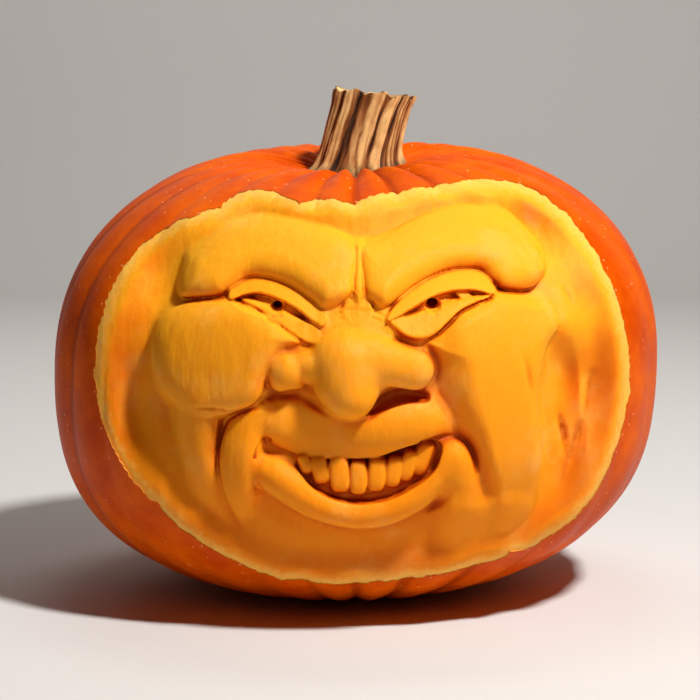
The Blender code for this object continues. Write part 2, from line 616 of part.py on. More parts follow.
def wrapped(columns, rows):
    """Faces of a closed ball of rows by columns, with one point at each pole after the grid's points."""
    faces = []
    low, high = rows * columns, rows * columns + 1
    for i in range(columns):
        j = (i + 1) % columns
        faces.append((low, j, i))
        faces.append((high, (rows - 1) * columns + i, (rows - 1) * columns + j))
        for r in range(rows - 1):
            faces.append((r * columns + i, r * columns + j, (r + 1) * columns + j, (r + 1) * columns + i))
    return faces


def make_pumpkin():
    block = Block(GRID, COARSE_GRID)
    carve_mouth(block)
    carve_nose(block)
    around = angles(-180, 180, -34, 36)
    upward = angles(-87, 88, -26, 40)
    turn, rise = np.meshgrid(around, upward)
    turn, rise = turn.ravel(), rise.ravel()
    ways = np.stack([np.cos(rise) * np.sin(turn), -np.cos(rise) * np.cos(turn), np.sin(rise)], 1)
    ways = np.vstack([ways, [[0.0, 0.0, -1.0], [0.0, 0.0, 1.0]]])
    points = pumpkin_points(block, ways)
    points[:, 2] += MIDDLE
    faces = wrapped(len(around), len(upward))
    pumpkin = mesh_object("carved_pumpkin", points, faces, (0.9, 0.33, 0.03, 1), 0.45)
    fewer = pumpkin.modifiers.new("fewer faces", "DECIMATE")
    triangles = sum(len(f) - 2 for f in faces)
    fewer.ratio = PUMPKIN_TRIANGLES / triangles
    return pumpkin


def cut_with(target, cutter):
    cutter.hide_render = True
    cutter.display_type = "WIRE"
    step = target.modifiers.new(cutter.name, "BOOLEAN")
    step.operation = "DIFFERENCE"
    step.solver = "EXACT"
    step.object = cutter


def make_ground_cutter():
    """A block that leaves the small flat underneath."""
    half, deep = 260, 40
    corners = ((-half, -half), (half, -half), (half, half), (-half, half))
    points = np.array([(x, y, z) for z in (-deep, 0) for x, y in corners], float)
    faces = [(3, 2, 1, 0), (4, 5, 6, 7)]
    faces += [(i, (i + 1) % 4, 4 + (i + 1) % 4, 4 + i) for i in range(4)]
    return mesh_object("ground_cutter", points, faces, (0.5, 0.5, 0.5, 1), 0.5)


def fluted(name, grown, levels, colour, roughness):
    """The stem, drawn up ring by ring: fluted, spread at its foot, which follows the crown, twisting and
    leaning to the right. grown makes it that much thicker, and levels are the heights of its rings as
    shares of the way up."""
    columns = 4 * STEM_FLUTES
    rings = [(levels[0], 0.3), (levels[0], 0.65)]
    rings += [(share, 1) for share in levels]
    rings += [(levels[-1], 0.65), (levels[-1], 0.3)]
    across = np.arange(columns) * 2 * np.pi / columns
    turn = np.concatenate([np.tile(across, len(rings)), [0, 0]])
    share = np.concatenate([np.repeat([s for s, _ in rings], columns), [levels[0], levels[-1]]])
    within = np.concatenate([np.repeat([float(w) for _, w in rings], columns), [0, 0]])
    uneven = turn + 0.09 * np.sin(2 * turn + 1) + 0.06 * np.sin(5 * turn)
    ridge = np.abs(np.sin(STEM_FLUTES / 2 * uneven)) ** 0.7 * (0.75 + 0.25 * np.sin(5 * turn + 2))
    flare = np.exp(-share * 9)
    radius = STEM_RADIUS - STEM_TAPER * share + flare * (6 - np.cos(turn)) + 1.2 * ease(0.8, 1, share)
    radius = radius + (2.4 + 1.5 * flare) * (ridge - 0.4)
    out = within * (radius + FACET_ALLOWANCE + grown)
    swing = turn + STEM_TWIST * share
    x = out * np.cos(swing) + STEM_LEAN * np.maximum(share, 0) ** 1.4 + STEM_OFFSET
    y = out * np.sin(swing) * 0.92
    foot = skin_height(x, y, ribs=0) + MIDDLE - STEM_SUNK
    frayed = 1.5 + 1.1 * np.sin(9 * turn) - 3 * (1 - within) ** 0.7
    z = foot + (STEM_TOP_HEIGHT - foot) * share - (x - STEM_LEAN - STEM_OFFSET) * 0.11 * share
    z = z + frayed * ease(0.9, 1, share)
    return mesh_object(name, np.column_stack([x, y, z]), wrapped(columns, len(rings)), colour, roughness)


def main():
    for old in list(bpy.data.objects):
        bpy.data.objects.remove(old)
    pumpkin = make_pumpkin()
    cut_with(pumpkin, make_ground_cutter())
    seat_rings = (-SEAT_DROP, *STEM_RINGS[:5])
    cut_with(pumpkin, fluted("stem_seat_cutter", STEM_GAP, seat_rings, (0.5, 0.5, 0.5, 1), 0.5))
    fluted("stem", 0, STEM_RINGS, (0.42, 0.27, 0.11, 1), 0.85)


main()
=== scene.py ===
"""The looks of a pumpkin with a snarling face carved in relief, on a pale studio floor.

Lengths named here are in millimetres and become metres where a mesh is made. A "level" is a height above the
pumpkin's middle. The face looks along -Y.
"""

import itertools
import math

import bpy
import numpy as np
import openvdb
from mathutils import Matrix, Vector


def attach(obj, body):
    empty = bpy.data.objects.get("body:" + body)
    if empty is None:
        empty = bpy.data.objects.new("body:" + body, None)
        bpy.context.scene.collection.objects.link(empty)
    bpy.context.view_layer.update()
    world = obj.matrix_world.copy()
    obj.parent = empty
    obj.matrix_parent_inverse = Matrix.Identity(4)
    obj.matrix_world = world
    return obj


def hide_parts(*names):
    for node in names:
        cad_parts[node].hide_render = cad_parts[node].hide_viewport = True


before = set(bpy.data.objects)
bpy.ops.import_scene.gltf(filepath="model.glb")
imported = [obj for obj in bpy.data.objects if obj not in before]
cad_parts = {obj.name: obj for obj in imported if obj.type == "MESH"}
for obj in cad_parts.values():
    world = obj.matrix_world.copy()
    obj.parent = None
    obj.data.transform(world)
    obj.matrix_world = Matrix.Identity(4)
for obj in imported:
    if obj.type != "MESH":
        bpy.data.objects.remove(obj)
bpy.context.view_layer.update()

MM = 0.001

# The fruit, as the solid has it
HALF_WIDTH = 164.0
DEPTH_SHARE = 0.98
CROWN_HEIGHT = 128.5
BASE_DEPTH = 116.5
MIDDLE = 115.0
CROWN_ROUNDNESS = 2.4
BASE_ROUNDNESS = 2.45
TILT = 0.018
SHOULDER_SWELL = 0.02
CROWN_LEAN = 0.08
RIB_COUNT = 26
RIB_DEPTH = 2.6
CROWN_DIP = 18.0
CROWN_DIP_AT = (-4.0, -3.0)
CROWN_DIP_RADIUS = 44.0

# The carving
RIND_CUT = 0.3
BAND_DEPTH = 12.0
BAND_WIDTH = 26.0
FACE_DEPTH = 8.0
PUPILS = ((-38.0, 51.8, 1.5), (38.3, 52.8, 2.0))  # x, level and radius
GRID = 0.75
FLESH_TRIANGLES = 190_000

# The stem
STEM_RADIUS = 21.5
STEM_TAPER = 1.5
STEM_FLUTES = 12
STEM_TOP_HEIGHT = 269.0
STEM_LEAN = 9.5
STEM_OFFSET = 1.5
STEM_TWIST = math.radians(14)
STEM_SUNK = 1.5

# The camera
LENS = 122.0
AIM = (-2.2, 129.1)  # x and height
AWAY = 1300.0
LOOKS_DOWN = math.radians(7)

# What nodes are set to
SMOOTH = {"interpolation_type": "SMOOTHSTEP"}
COLOURS = {"data_type": "RGBA"}


def deselect():
    bpy.ops.object.select_all(action="DESELECT")


def take_up(thing):
    """Makes one object the selected and active one."""
    deselect()
    thing.select_set(True)
    bpy.context.view_layer.objects.active = thing


def positions(thing):
    found = np.empty(len(thing.data.vertices) * 3)
    thing.data.vertices.foreach_get("co", found)
    return found.reshape(-1, 3)


def move_to(thing, points):
    thing.data.vertices.foreach_set("co", np.asarray(points, np.float32).ravel())
    thing.data.update()


def note(thing, name, values):
    """Keeps one number for each vertex, for the material to read."""
    kept = thing.data.attributes.new(name, "FLOAT", "POINT")
    kept.data.foreach_set("value", np.asarray(values, np.float32))


def ease(low, high, value):
    """0 below low, 1 above high, smooth between."""
    t = np.clip((value - low) / (high - low), 0, 1)
    return t * t * (3 - 2 * t)


def curve(points, steps, closed=False):
    """A smooth curve through every point."""
    p = np.array(points, float)
    if closed:
        p = np.vstack([p[-1], p, p[0], p[1]])
    else:
        p = np.vstack([2 * p[0] - p[1], p, 2 * p[-1] - p[-2]])
    t = np.linspace(0, 1, steps, endpoint=False)[:, None]
    spans = []
    for a, b, c, d in zip(p[:-3], p[1:-2], p[2:-1], p[3:]):
        cubic = (2 * a - 5 * b + 4 * c - d) * t**2 + (3 * b - a - 3 * c + d) * t**3
        spans.append(0.5 * (2 * b + (c - a) * t + cubic))
    return np.vstack(spans if closed else spans + [p[-2:-1]])


# ---- the fruit ----


def rib_crown(x, y):
    """0 in the groove between two ribs and 1 on a rib's crown. The ribs differ in width and depth."""
    turn = np.arctan2(x, -y)
    turn = turn - 0.035 + 0.03 * np.sin(3 * turn + 1.0) + 0.02 * np.sin(7 * turn)
    share = 2 * ((turn * RIB_COUNT / (2 * np.pi)) % 1) - 1
    crown = 0.6 * np.sqrt(1 - share**2) + 0.2 + 0.2 * np.cos(np.pi * share)
    return 1 - (1 - crown) * (0.8 + 0.35 * np.sin(3.3 * turn + 0.8))


def skin_shape(level):
    """Half height and roundness of the fruit above or below its widest level."""
    upper = level > 0
    tall = np.where(upper, CROWN_HEIGHT, BASE_DEPTH)
    return tall, np.where(upper, CROWN_ROUNDNESS, BASE_ROUNDNESS)


def upright(x, y, level):
    """The level if the fruit didn't lean: its right side is higher, and its crown drops to the front."""
    return level - TILT * x - CROWN_LEAN * y * ease(20, 90, level)


def above_skin(x, y, level, ribs=1.0):
    """Distance outside the fruit's skin, negative inside."""
    level = upright(x, y, level)
    from_dip = (x - CROWN_DIP_AT[0]) ** 2 + (y - CROWN_DIP_AT[1]) ** 2
    dip = CROWN_DIP * np.exp(-from_dip / CROWN_DIP_RADIUS**2)
    y = y / DEPTH_SHARE
    out = np.hypot(x, y) + 1e-6
    wide = HALF_WIDTH * (1 + SHOULDER_SWELL * np.clip((level + 20) / 90, 0, 1) * np.clip(x / 90, 0, 1))
    tall, power = skin_shape(level)
    up = np.abs(level) + 1e-6
    near_crown = np.clip(1 - out / 95, 0, 1) * np.clip(level / 60, 0, 1)
    groove = ribs * RIB_DEPTH * (1 + 2.5 * near_crown) * np.clip(out / 30, 0, 1) * (1 - rib_crown(x, y))
    size = ((out / wide) ** power + (up / tall) ** power) ** (1 / power)
    slope_out = (out / size) ** (power - 1) / wide**power
    slope_up = (up / size) ** (power - 1) / tall**power
    return (size - 1) / np.hypot(slope_out, slope_up) + groove + np.where(level > 0, dip, 0)


def on_face(x, level, under):
    """The point of the fruit's front that lies this far under the skin."""
    y = -120.0
    for _ in range(4):
        true_level = upright(x, y, level)
        tall, power = skin_shape(true_level)
        share = max(1 - (abs(true_level) / (tall - under)) ** power, 0) ** (1 / power)
        y = -DEPTH_SHARE * math.sqrt(max(((HALF_WIDTH - under) * share) ** 2 - x**2, 1))
    return np.array([x, y, level])


def skin_height(x, y, ribs=1.0):
    """The level of the crown's skin straight above a point."""
    level = np.full(np.shape(x), CROWN_HEIGHT - 10)
    for _ in range(20):
        level = level - above_skin(x, y, level, ribs)
    return level


# ---- outlines and bands, seen from the front ----


def inside(edge, x, level):
    """Distance in from a closed outline, negative outside it."""
    nearest = np.full(np.broadcast(x, level).shape, 1e9)
    within = np.zeros(nearest.shape, bool)
    for (ax, az), (bx, bz) in zip(edge, np.roll(edge, -1, 0)):
        dx, dz = bx - ax, bz - az
        t = np.clip(((x - ax) * dx + (level - az) * dz) / (dx * dx + dz * dz), 0, 1)
        nearest = np.minimum(nearest, (x - ax - t * dx) ** 2 + (level - az - t * dz) ** 2)
        if dz:
            within ^= ((az <= level) != (bz <= level)) & (x < ax + (level - az) * dx / dz)
    return np.where(within, 1, -1) * np.sqrt(nearest)


def along(points, x, level):
    """Distance out from a band through points of (x, level, half width, depth), and its depth there."""
    line = curve(points, 6)
    nearest = np.full(np.broadcast(x, level).shape, 1e9)
    depth = np.zeros(nearest.shape)
    for (ax, az, ar, ad), (bx, bz, br, bd) in zip(line, line[1:]):
        dx, dz = bx - ax, bz - az
        t = np.clip(((x - ax) * dx + (level - az) * dz) / (dx * dx + dz * dz + 1e-9), 0, 1)
        gap = np.hypot(x - ax - t * dx, level - az - t * dz) - ar - t * (br - ar)
        depth = np.where(gap < nearest, ad + t * (bd - ad), depth)
        nearest = np.minimum(gap, nearest)
    return nearest, depth


def rind_edges():
    """The cut edge of the rind, a wide oval that is higher on the right. First it's smooth, then as cut:
    ragged, with a bite where it meets some of the grooves."""
    corners = [
        (-2, 103), (23, 107), (48, 110), (77, 110), (99, 102), (119, 82), (135, 50), (142, 11), (136, -22),
        (120, -54), (94, -74), (66, -82), (23, -89), (-5, -91), (-38, -88), (-68, -74), (-95, -55),
        (-114, -35), (-128, -10), (-132, 18), (-127, 48), (-115, 71), (-98, 86), (-78, 95), (-53, 106),
        (-27, 103),
    ]
    bites = [
        (-70, 100, 3), (-28, 103, 3.5), (0, 103, 4), (23, 107, 2.5), (42, 110, 3), (82, -79, 5),
        (-101, -50, 3), (-27, -90, 2), (13, -90, 2),
    ]
    edge = curve(corners, 24, closed=True)
    middle = np.array([2.0, 8.0])
    turn = np.arctan2(edge[:, 1] - middle[1], edge[:, 0] - middle[0])
    nicks = (np.sin(41 * turn) + np.sin(67 * turn + 1)) * np.sin(5 * turn + 2)
    fine = np.sin(151 * turn + 4 * np.sin(11 * turn)) * (0.5 + 0.5 * np.sin(9 * turn + 1))
    inward = 0.4 * nicks + 0.35 * fine + 0.2 * np.sin(233 * turn + 3 * np.sin(19 * turn))
    for x, level, deep in bites:
        inward = inward + deep * np.exp(-np.hypot(edge[:, 0] - x, edge[:, 1] - level) / 3.5)
    to_middle = (middle - edge) / np.linalg.norm(middle - edge, axis=1)[:, None]
    return edge[::4], edge + to_middle * inward[:, None]


SMOOTH_EDGE, RIND_EDGE = rind_edges()


# ---- carving the flesh ----


class Relief:
    """How deep the surface lies under the skin, seen from the front: every form that doesn't overhang."""

    def __init__(self, x, level):
        self.x, self.level = x, level
        edge = inside(SMOOTH_EDGE, x, level)
        self.depth = RIND_CUT + BAND_DEPTH * ease(0, BAND_WIDTH, edge) ** 0.9
        self.depth = self.depth + FACE_DEPTH * ease(20, 44, edge)

    def raise_to(self, form, soft):
        share = np.clip(0.5 + 0.5 * (self.depth - form) / soft, 0, 1)
        self.depth = self.depth * (1 - share) + form * share - soft * share * (1 - share)

    def sink_to(self, form, soft):
        share = np.clip(0.5 - 0.5 * (self.depth - form) / soft, 0, 1)
        self.depth = self.depth * (1 - share) + form * share + soft * share * (1 - share)

    def gap(self, corners):
        return inside(curve(corners, 6, closed=True), self.x, self.level)

    def turned(self, at, size, turn):
        """Position in the frame of a form at a point, turned, as shares of its half sizes."""
        c, s = math.cos(math.radians(turn)), math.sin(math.radians(turn))
        across, up = self.x - at[0], self.level - at[1]
        return (across * c + up * s) / size[0], (up * c - across * s) / size[1]

    def sink(self, at, size, deep, turn=0.0):
        """A soft hollow, or with a negative depth a soft swelling."""
        u, v = self.turned(at, size, turn)
        self.depth = self.depth + deep * np.exp(-(u**2) - v**2)

    def lay(self, gap, crest, rise, shoulder, soft, fall=1.6, gentle=0.0):
        """Lays a form over what is there. gap is the distance in from its edge. Its shoulder is round or,
        as far as gentle says, runs out softly."""
        t = 1 - np.clip(gap / shoulder, 0, 1)
        form = crest + rise * (gentle * t**2 + (1 - gentle) * (1 - np.sqrt(1 - t**2)))
        self.raise_to(form - fall * np.minimum(gap, 0), soft)

    def pad(self, corners, crest, rise, shoulder, soft, fall=1.6, gentle=0.0):
        self.lay(self.gap(corners), crest, rise, shoulder, soft, fall, gentle)

    def fold(self, points, rise, shoulder, soft, gentle=0.0):
        """A fold of flesh through points of (x, level, half width, depth of its crest)."""
        gap, crest = along(points, self.x, self.level)
        self.lay(-gap, crest, rise, shoulder, soft, 1.6, gentle)

    def dome(self, at, size, crest, turn=0.0):
        """A rounded swelling with half sizes (wide, tall, deep)."""
        u, v = self.turned(at, size, turn)
        out = np.hypot(u, v)
        form = crest + size[2] * (1 - np.sqrt(1 - np.minimum(out, 1) ** 2))
        self.raise_to(form + 3 * size[1] * np.maximum(out - 1, 0), 0.4)

    def dig(self, corners, deep, slope, soft):
        """A hole with steep walls and a flat floor."""
        self.sink_to(deep + slope * np.minimum(self.gap(corners), 0), soft)

    def crease(self, points):
        """A knife cut through points of (x, level, half width, depth of the cut)."""
        line = [(x, level, 0, deep) for x, level, _, deep in points]
        gap, deep = along(line, self.x, self.level)
        wide = max(point[2] for point in points)
        self.depth = self.depth + deep * np.clip(1 - gap / wide, 0, 1) ** 1.6


def ticks(low, high, fine_from, fine_to, fine, coarse):
    """Positions along one side of the block, close together over the features and wider apart beyond."""
    found = [low]
    while found[-1] < high:
        beyond = max(fine_from - found[-1], found[-1] - fine_to, 0)
        found.append(found[-1] + fine + (coarse - fine) * min(beyond / 12, 1))
    return np.array(found)


class Block:
    """The flesh as distances outside its surface, on a grid. Forms are joined to it or cut from it."""

    def __init__(self, fine, coarse):
        self.x = ticks(-150, 160, -72, 80, fine, coarse)
        self.y = ticks(-172, -26, -166, -85, fine, coarse)
        self.z = ticks(-106, 126, -72, 88, fine, coarse)
        across, level = np.meshgrid(self.x, self.z, indexing="ij")
        relief = Relief(across, level)
        shape_cheeks(relief)
        shape_brows(relief)
        shape_eyes(relief)
        slopes = np.gradient(relief.depth, self.x, self.z)
        steep = np.sqrt(1 + slopes[0] ** 2 + slopes[1] ** 2)
        ribs = 1 - ease(1, 9, inside(SMOOTH_EDGE, across, level))[:, None, :]
        skin = above_skin(self.x[:, None, None], self.y[None, :, None], self.z[None, None, :], ribs)
        self.far = ((skin + relief.depth[:, None, :]) / steep[:, None, :]).astype(np.float32)

    def sample(self, points):
        """The distance at each point, straight-line between the grid's own."""
        cells, parts = [], []
        for side, value in zip((self.x, self.y, self.z), points.T):
            cell = np.clip(np.searchsorted(side, value) - 1, 0, len(side) - 2)
            cells.append(cell)
            parts.append(np.clip((value - side[cell]) / (side[cell + 1] - side[cell]), 0, 1))
        total = np.zeros(len(points))
        for i, j, k in itertools.product((0, 1), repeat=3):
            weight = abs(1 - i - parts[0]) * abs(1 - j - parts[1]) * abs(1 - k - parts[2])
            total += weight * self.far[cells[0] + i, cells[1] + j, cells[2] + k]
        return total

    def outward(self, points):
        """The way straight out of the surface at each point."""
        ways = [self.sample(points + step) - self.sample(points - step) for step in np.eye(3)]
        ways = np.column_stack(ways)
        return ways / (np.linalg.norm(ways, axis=1)[:, None] + 1e-6)

    def blend(self, low, high, soft, shape, cut):
        """Joins or cuts a shape, whose distances come from shape(x, y, z), with an edge rounded over soft."""
        part = tuple(
            slice(np.searchsorted(side, a - soft - 2), np.searchsorted(side, b + soft + 2) + 1)
            for side, a, b in zip((self.x, self.y, self.z), low, high)
        )
        x, y, z = (side[cells].astype(np.float32) for side, cells in zip((self.x, self.y, self.z), part))
        other = shape(x[:, None, None], y[None, :, None], z[None, None, :]).astype(np.float32)
        mine = self.far[part]
        if cut:
            share = np.clip(0.5 - 0.5 * (mine + other) / soft, 0, 1)
            self.far[part] = mine * (1 - share) - other * share + soft * share * (1 - share)
        else:
            share = np.clip(0.5 + 0.5 * (mine - other) / soft, 0, 1)
            self.far[part] = mine * (1 - share) + other * share - soft * share * (1 - share)

    def roll(self, points, soft, cut=False, deep=1.0):
        """A tapering roll of flesh through points of (x, level, depth of its crest, radius). A cut has the
        depth of its bottom in that place. deep stretches or flattens the roll from front to back."""
        ends = []
        for x, level, under, radius in points:
            ends.append([*on_face(x, level, under + radius * deep * (-1 if cut else 1)), radius])
        line = curve(ends, 7)
        centre, radius = line[:, :3], np.maximum(line[:, 3], 0.2)
        margin = radius[:, None] * [1, deep, 1]

        def shape(x, y, z):
            nearest = None
            for a, b, r, s in zip(centre[:-1], centre[1:], radius[:-1], radius[1:]):
                way = (b - a) * [1, 1 / deep, 1]
                px, py, pz = x - a[0], (y - a[1]) / deep, z - a[2]
                t = np.clip((px * way[0] + py * way[1] + pz * way[2]) / (way @ way + 1e-9), 0, 1)
                gap = np.sqrt((px - t * way[0]) ** 2 + (py - t * way[1]) ** 2 + (pz - t * way[2]) ** 2)
                gap = gap - (r + (s - r) * t)
                nearest = gap if nearest is None else np.minimum(nearest, gap)
            return nearest * min(deep, 1)

        self.blend((centre - margin).min(0), (centre + margin).max(0), soft, shape, cut)

    def ball(self, x, level, under, size, soft, turn=0.0, box=2.0):
        """A ball of flesh with half sizes (wide, deep, tall), turned in its own plane. box squares it."""
        middle = on_face(x, level, under + size[1])
        wide, deep, tall = size
        c, s = math.cos(math.radians(turn)), math.sin(math.radians(turn))

        def shape(x, y, z):
            x, y, z = x - middle[0], y - middle[1], z - middle[2]
            u = np.abs(x * c + z * s) / wide + 1e-6
            v = np.abs(z * c - x * s) / tall + 1e-6
            w = np.abs(y) / deep + 1e-6
            reach = (u**box + v**box + w**box) ** (1 / box)
            sides = (u ** (box - 1) / wide) ** 2 + (v ** (box - 1) / tall) ** 2
            slope = np.sqrt(sides + (w ** (box - 1) / deep) ** 2)
            return (reach - 1) * reach ** (box - 1) / (slope + 1e-6)

        self.blend(middle - max(size), middle + max(size), soft, shape, False)


def shape_cheeks(relief):
    """The cheeks, the folds beside the mouth and the hollows round them."""
    x, level = relief.x, relief.level
    relief.sink((108, 12), (10, 12), 3.2, 10)
    relief.sink((109, -10), (10, 15), 2.8)
    relief.sink((104, -32), (9, 16), 2.5)
    relief.sink((124, 6), (6, 26), 1.2)
    relief.sink((116, -2), (3, 22), -1.2, 6)
    relief.sink((57, 2), (5, 18), 3, 15)
    relief.sink((65, -26), (4, 14), 2, 15)
    relief.sink((92, 88), (10, 15), 2, 35)
    relief.sink((-98, 60), (10, 19), 2.5)
    relief.sink((-112, -8), (9, 26), 3)
    relief.sink((105, 40), (14, 12), -5)
    middle = 1 - ease(30, 50, x)
    chin = 9 + 13 * middle * ease(-92, -62, level) + 5 * (1 - middle) * ease(-50, -36, level)
    relief.pad(
        [(-58, -50), (-60, -64), (-42, -82), (-5, -89), (30, -84), (62, -78), (84, -68), (88, -50),
         (74, -36), (54, -40), (36, -52), (0, -54)],
        chin, rise=2, shoulder=12, soft=6,
    )
    relief.pad(
        [(-102, 30), (-97, 44), (-83, 52), (-61, 55), (-47, 53), (-36, 44), (-26, 36), (-35, 31),
         (-42, 19), (-48, 6), (-63, -1), (-80, -3), (-97, 9)],
        4.5, rise=8, shoulder=12, soft=3,
    )
    inner = (1 - ease(44, 84, x)) * (1 - ease(22, 46, level))
    low = 1 - ease(-62, -22, level)
    relief.pad(
        [(34, 36), (41, 40), (47, 45), (53, 50), (61, 53.5), (69, 58), (82, 57), (97, 52), (103, 40),
         (96, 28), (92, 6), (94, -16), (95, -34), (91, -54), (80, -66), (71, -62), (66, -48), (60, -30),
         (54, -16), (47, -4), (42, 9), (39, 20), (36, 28)],
        5.5 + 3.5 * (1 - ease(-55, -20, level)), rise=10 + (3 - 9 * low) * inner, shoulder=7 + 22 * inner,
        soft=2.5 + 6 * (1 - ease(-48, -18, level)), fall=1.6 - inner, gentle=inner,
    )
    relief.fold(
        [(-79, 10, 12, 6), (-78, -4, 11, 7), (-77, -24, 9, 7.5), (-73, -42, 8, 8.5), (-56, -69, 2, 11)],
        rise=6, shoulder=10, soft=4, gentle=0.3,
    )
    relief.fold(
        [(-46, 2, 6, 12), (-54, -8, 8.5, 10), (-58, -24, 10, 8.5), (-58, -42, 8.5, 9), (-54, -62, 4, 12)],
        rise=5, shoulder=8, soft=2.5, gentle=0.5,
    )
    relief.crease(
        [(-40, 2, 1.8, 0.3), (-50, 2.5, 1.8, 0.8), (-58, -1, 1.8, 1.4), (-64, -8, 1.8, 1.5),
         (-67, -17, 1.8, 1.5), (-67.5, -28, 1.8, 1.2), (-64, -45, 1.8, 1), (-57, -60, 1.8, 0.3)]
    )
    relief.crease([(-79, 2, 1.8, 0.3), (-70, 2.5, 1.8, 1.5), (-60, 1, 1.8, 2), (-55, 3, 1.8, 0.5)])
    relief.crease([(83, 27, 3, 0.3), (86, 16, 3, 2), (88, 3, 3, 0.3)])
    relief.crease([(103, -4, 4, 0.3), (106, -16, 4, 2.6), (109, -29, 4, 0.5)])
    relief.crease([(106, 60, 2, 0.2), (108, 54, 2, 1), (112, 47, 2, 0.2)])
    relief.crease([(121, 12, 6, 1), (118, -6, 6, 1.6), (112, -24, 6, 1.6), (106, -40, 6, 0.5)])


def shape_brows(relief):
    """The two brows, steep over the eyes and soft on top, with the frown between them."""
    x, level = relief.x, relief.level
    left_brow = [
        (-78, 84), (-70, 92), (-58, 96), (-42, 98), (-27, 96), (-15, 92), (-5, 85), (0.5, 78), (0.5, 66),
        (-1, 58), (-6, 52.5), (-12, 50), (-17, 50.5), (-22, 54.5), (-32, 60.5), (-42, 63.5), (-52, 63.5),
        (-60, 58.5), (-68, 54), (-87, 53), (-90, 64), (-87, 76),
    ]
    right_brow = [
        (3.5, 78), (9, 81), (15, 84), (23, 89), (33, 95), (43, 99), (53, 102), (64, 102), (72, 100.5),
        (79, 96.5), (84, 90), (90, 82), (95, 74), (97.5, 67), (94, 61), (88, 58), (81, 56.5), (73, 58),
        (67, 62.5), (62, 67.5), (52, 68), (42, 66), (32, 61.5), (24, 56), (17, 51), (11, 51), (6, 57),
        (4, 66),
    ]
    left_middle = np.interp(x, [-70, -45, -5], [72, 82, 70])
    right_middle = np.interp(x, [8, 32, 55, 80, 95], [68, 79, 86, 76, 68])
    frown = np.exp(-(((x - 2) / 12) ** 2)) * ease(50, 62, level)
    for corners, middle in ((left_brow, left_middle), (right_brow, right_middle)):
        top = ease(-7, 9, level - middle)
        relief.pad(
            corners, 2.5, rise=(15 - 8 * top) * (1 - 0.55 * frown), shoulder=16 - 9 * frown - 3 * top,
            soft=1.5, gentle=0.15 + 0.2 * top,
        )
    relief.pad([(-19, 52), (0, 55), (19, 52), (24, 40), (0, 36), (-24, 38)], 11.5, rise=3, shoulder=6, soft=3)
    relief.crease([(-14, 47, 1.2, 0.3), (-5, 50, 1.2, 1.2), (8, 50, 1.2, 1.2), (17, 47, 1.2, 0.3)])
    relief.crease([(-12, 44.5, 1.2, 0.3), (-4, 47.3, 1.2, 1), (7, 47.3, 1.2, 1), (14, 45, 1.2, 0.3)])
    relief.fold(
        [(2, 80, 1.2, 4), (2, 66, 1.6, 4.5), (2, 59, 2.8, 6.5), (1.5, 51, 8, 11)],
        rise=1.2, shoulder=1.5, soft=0.6,
    )


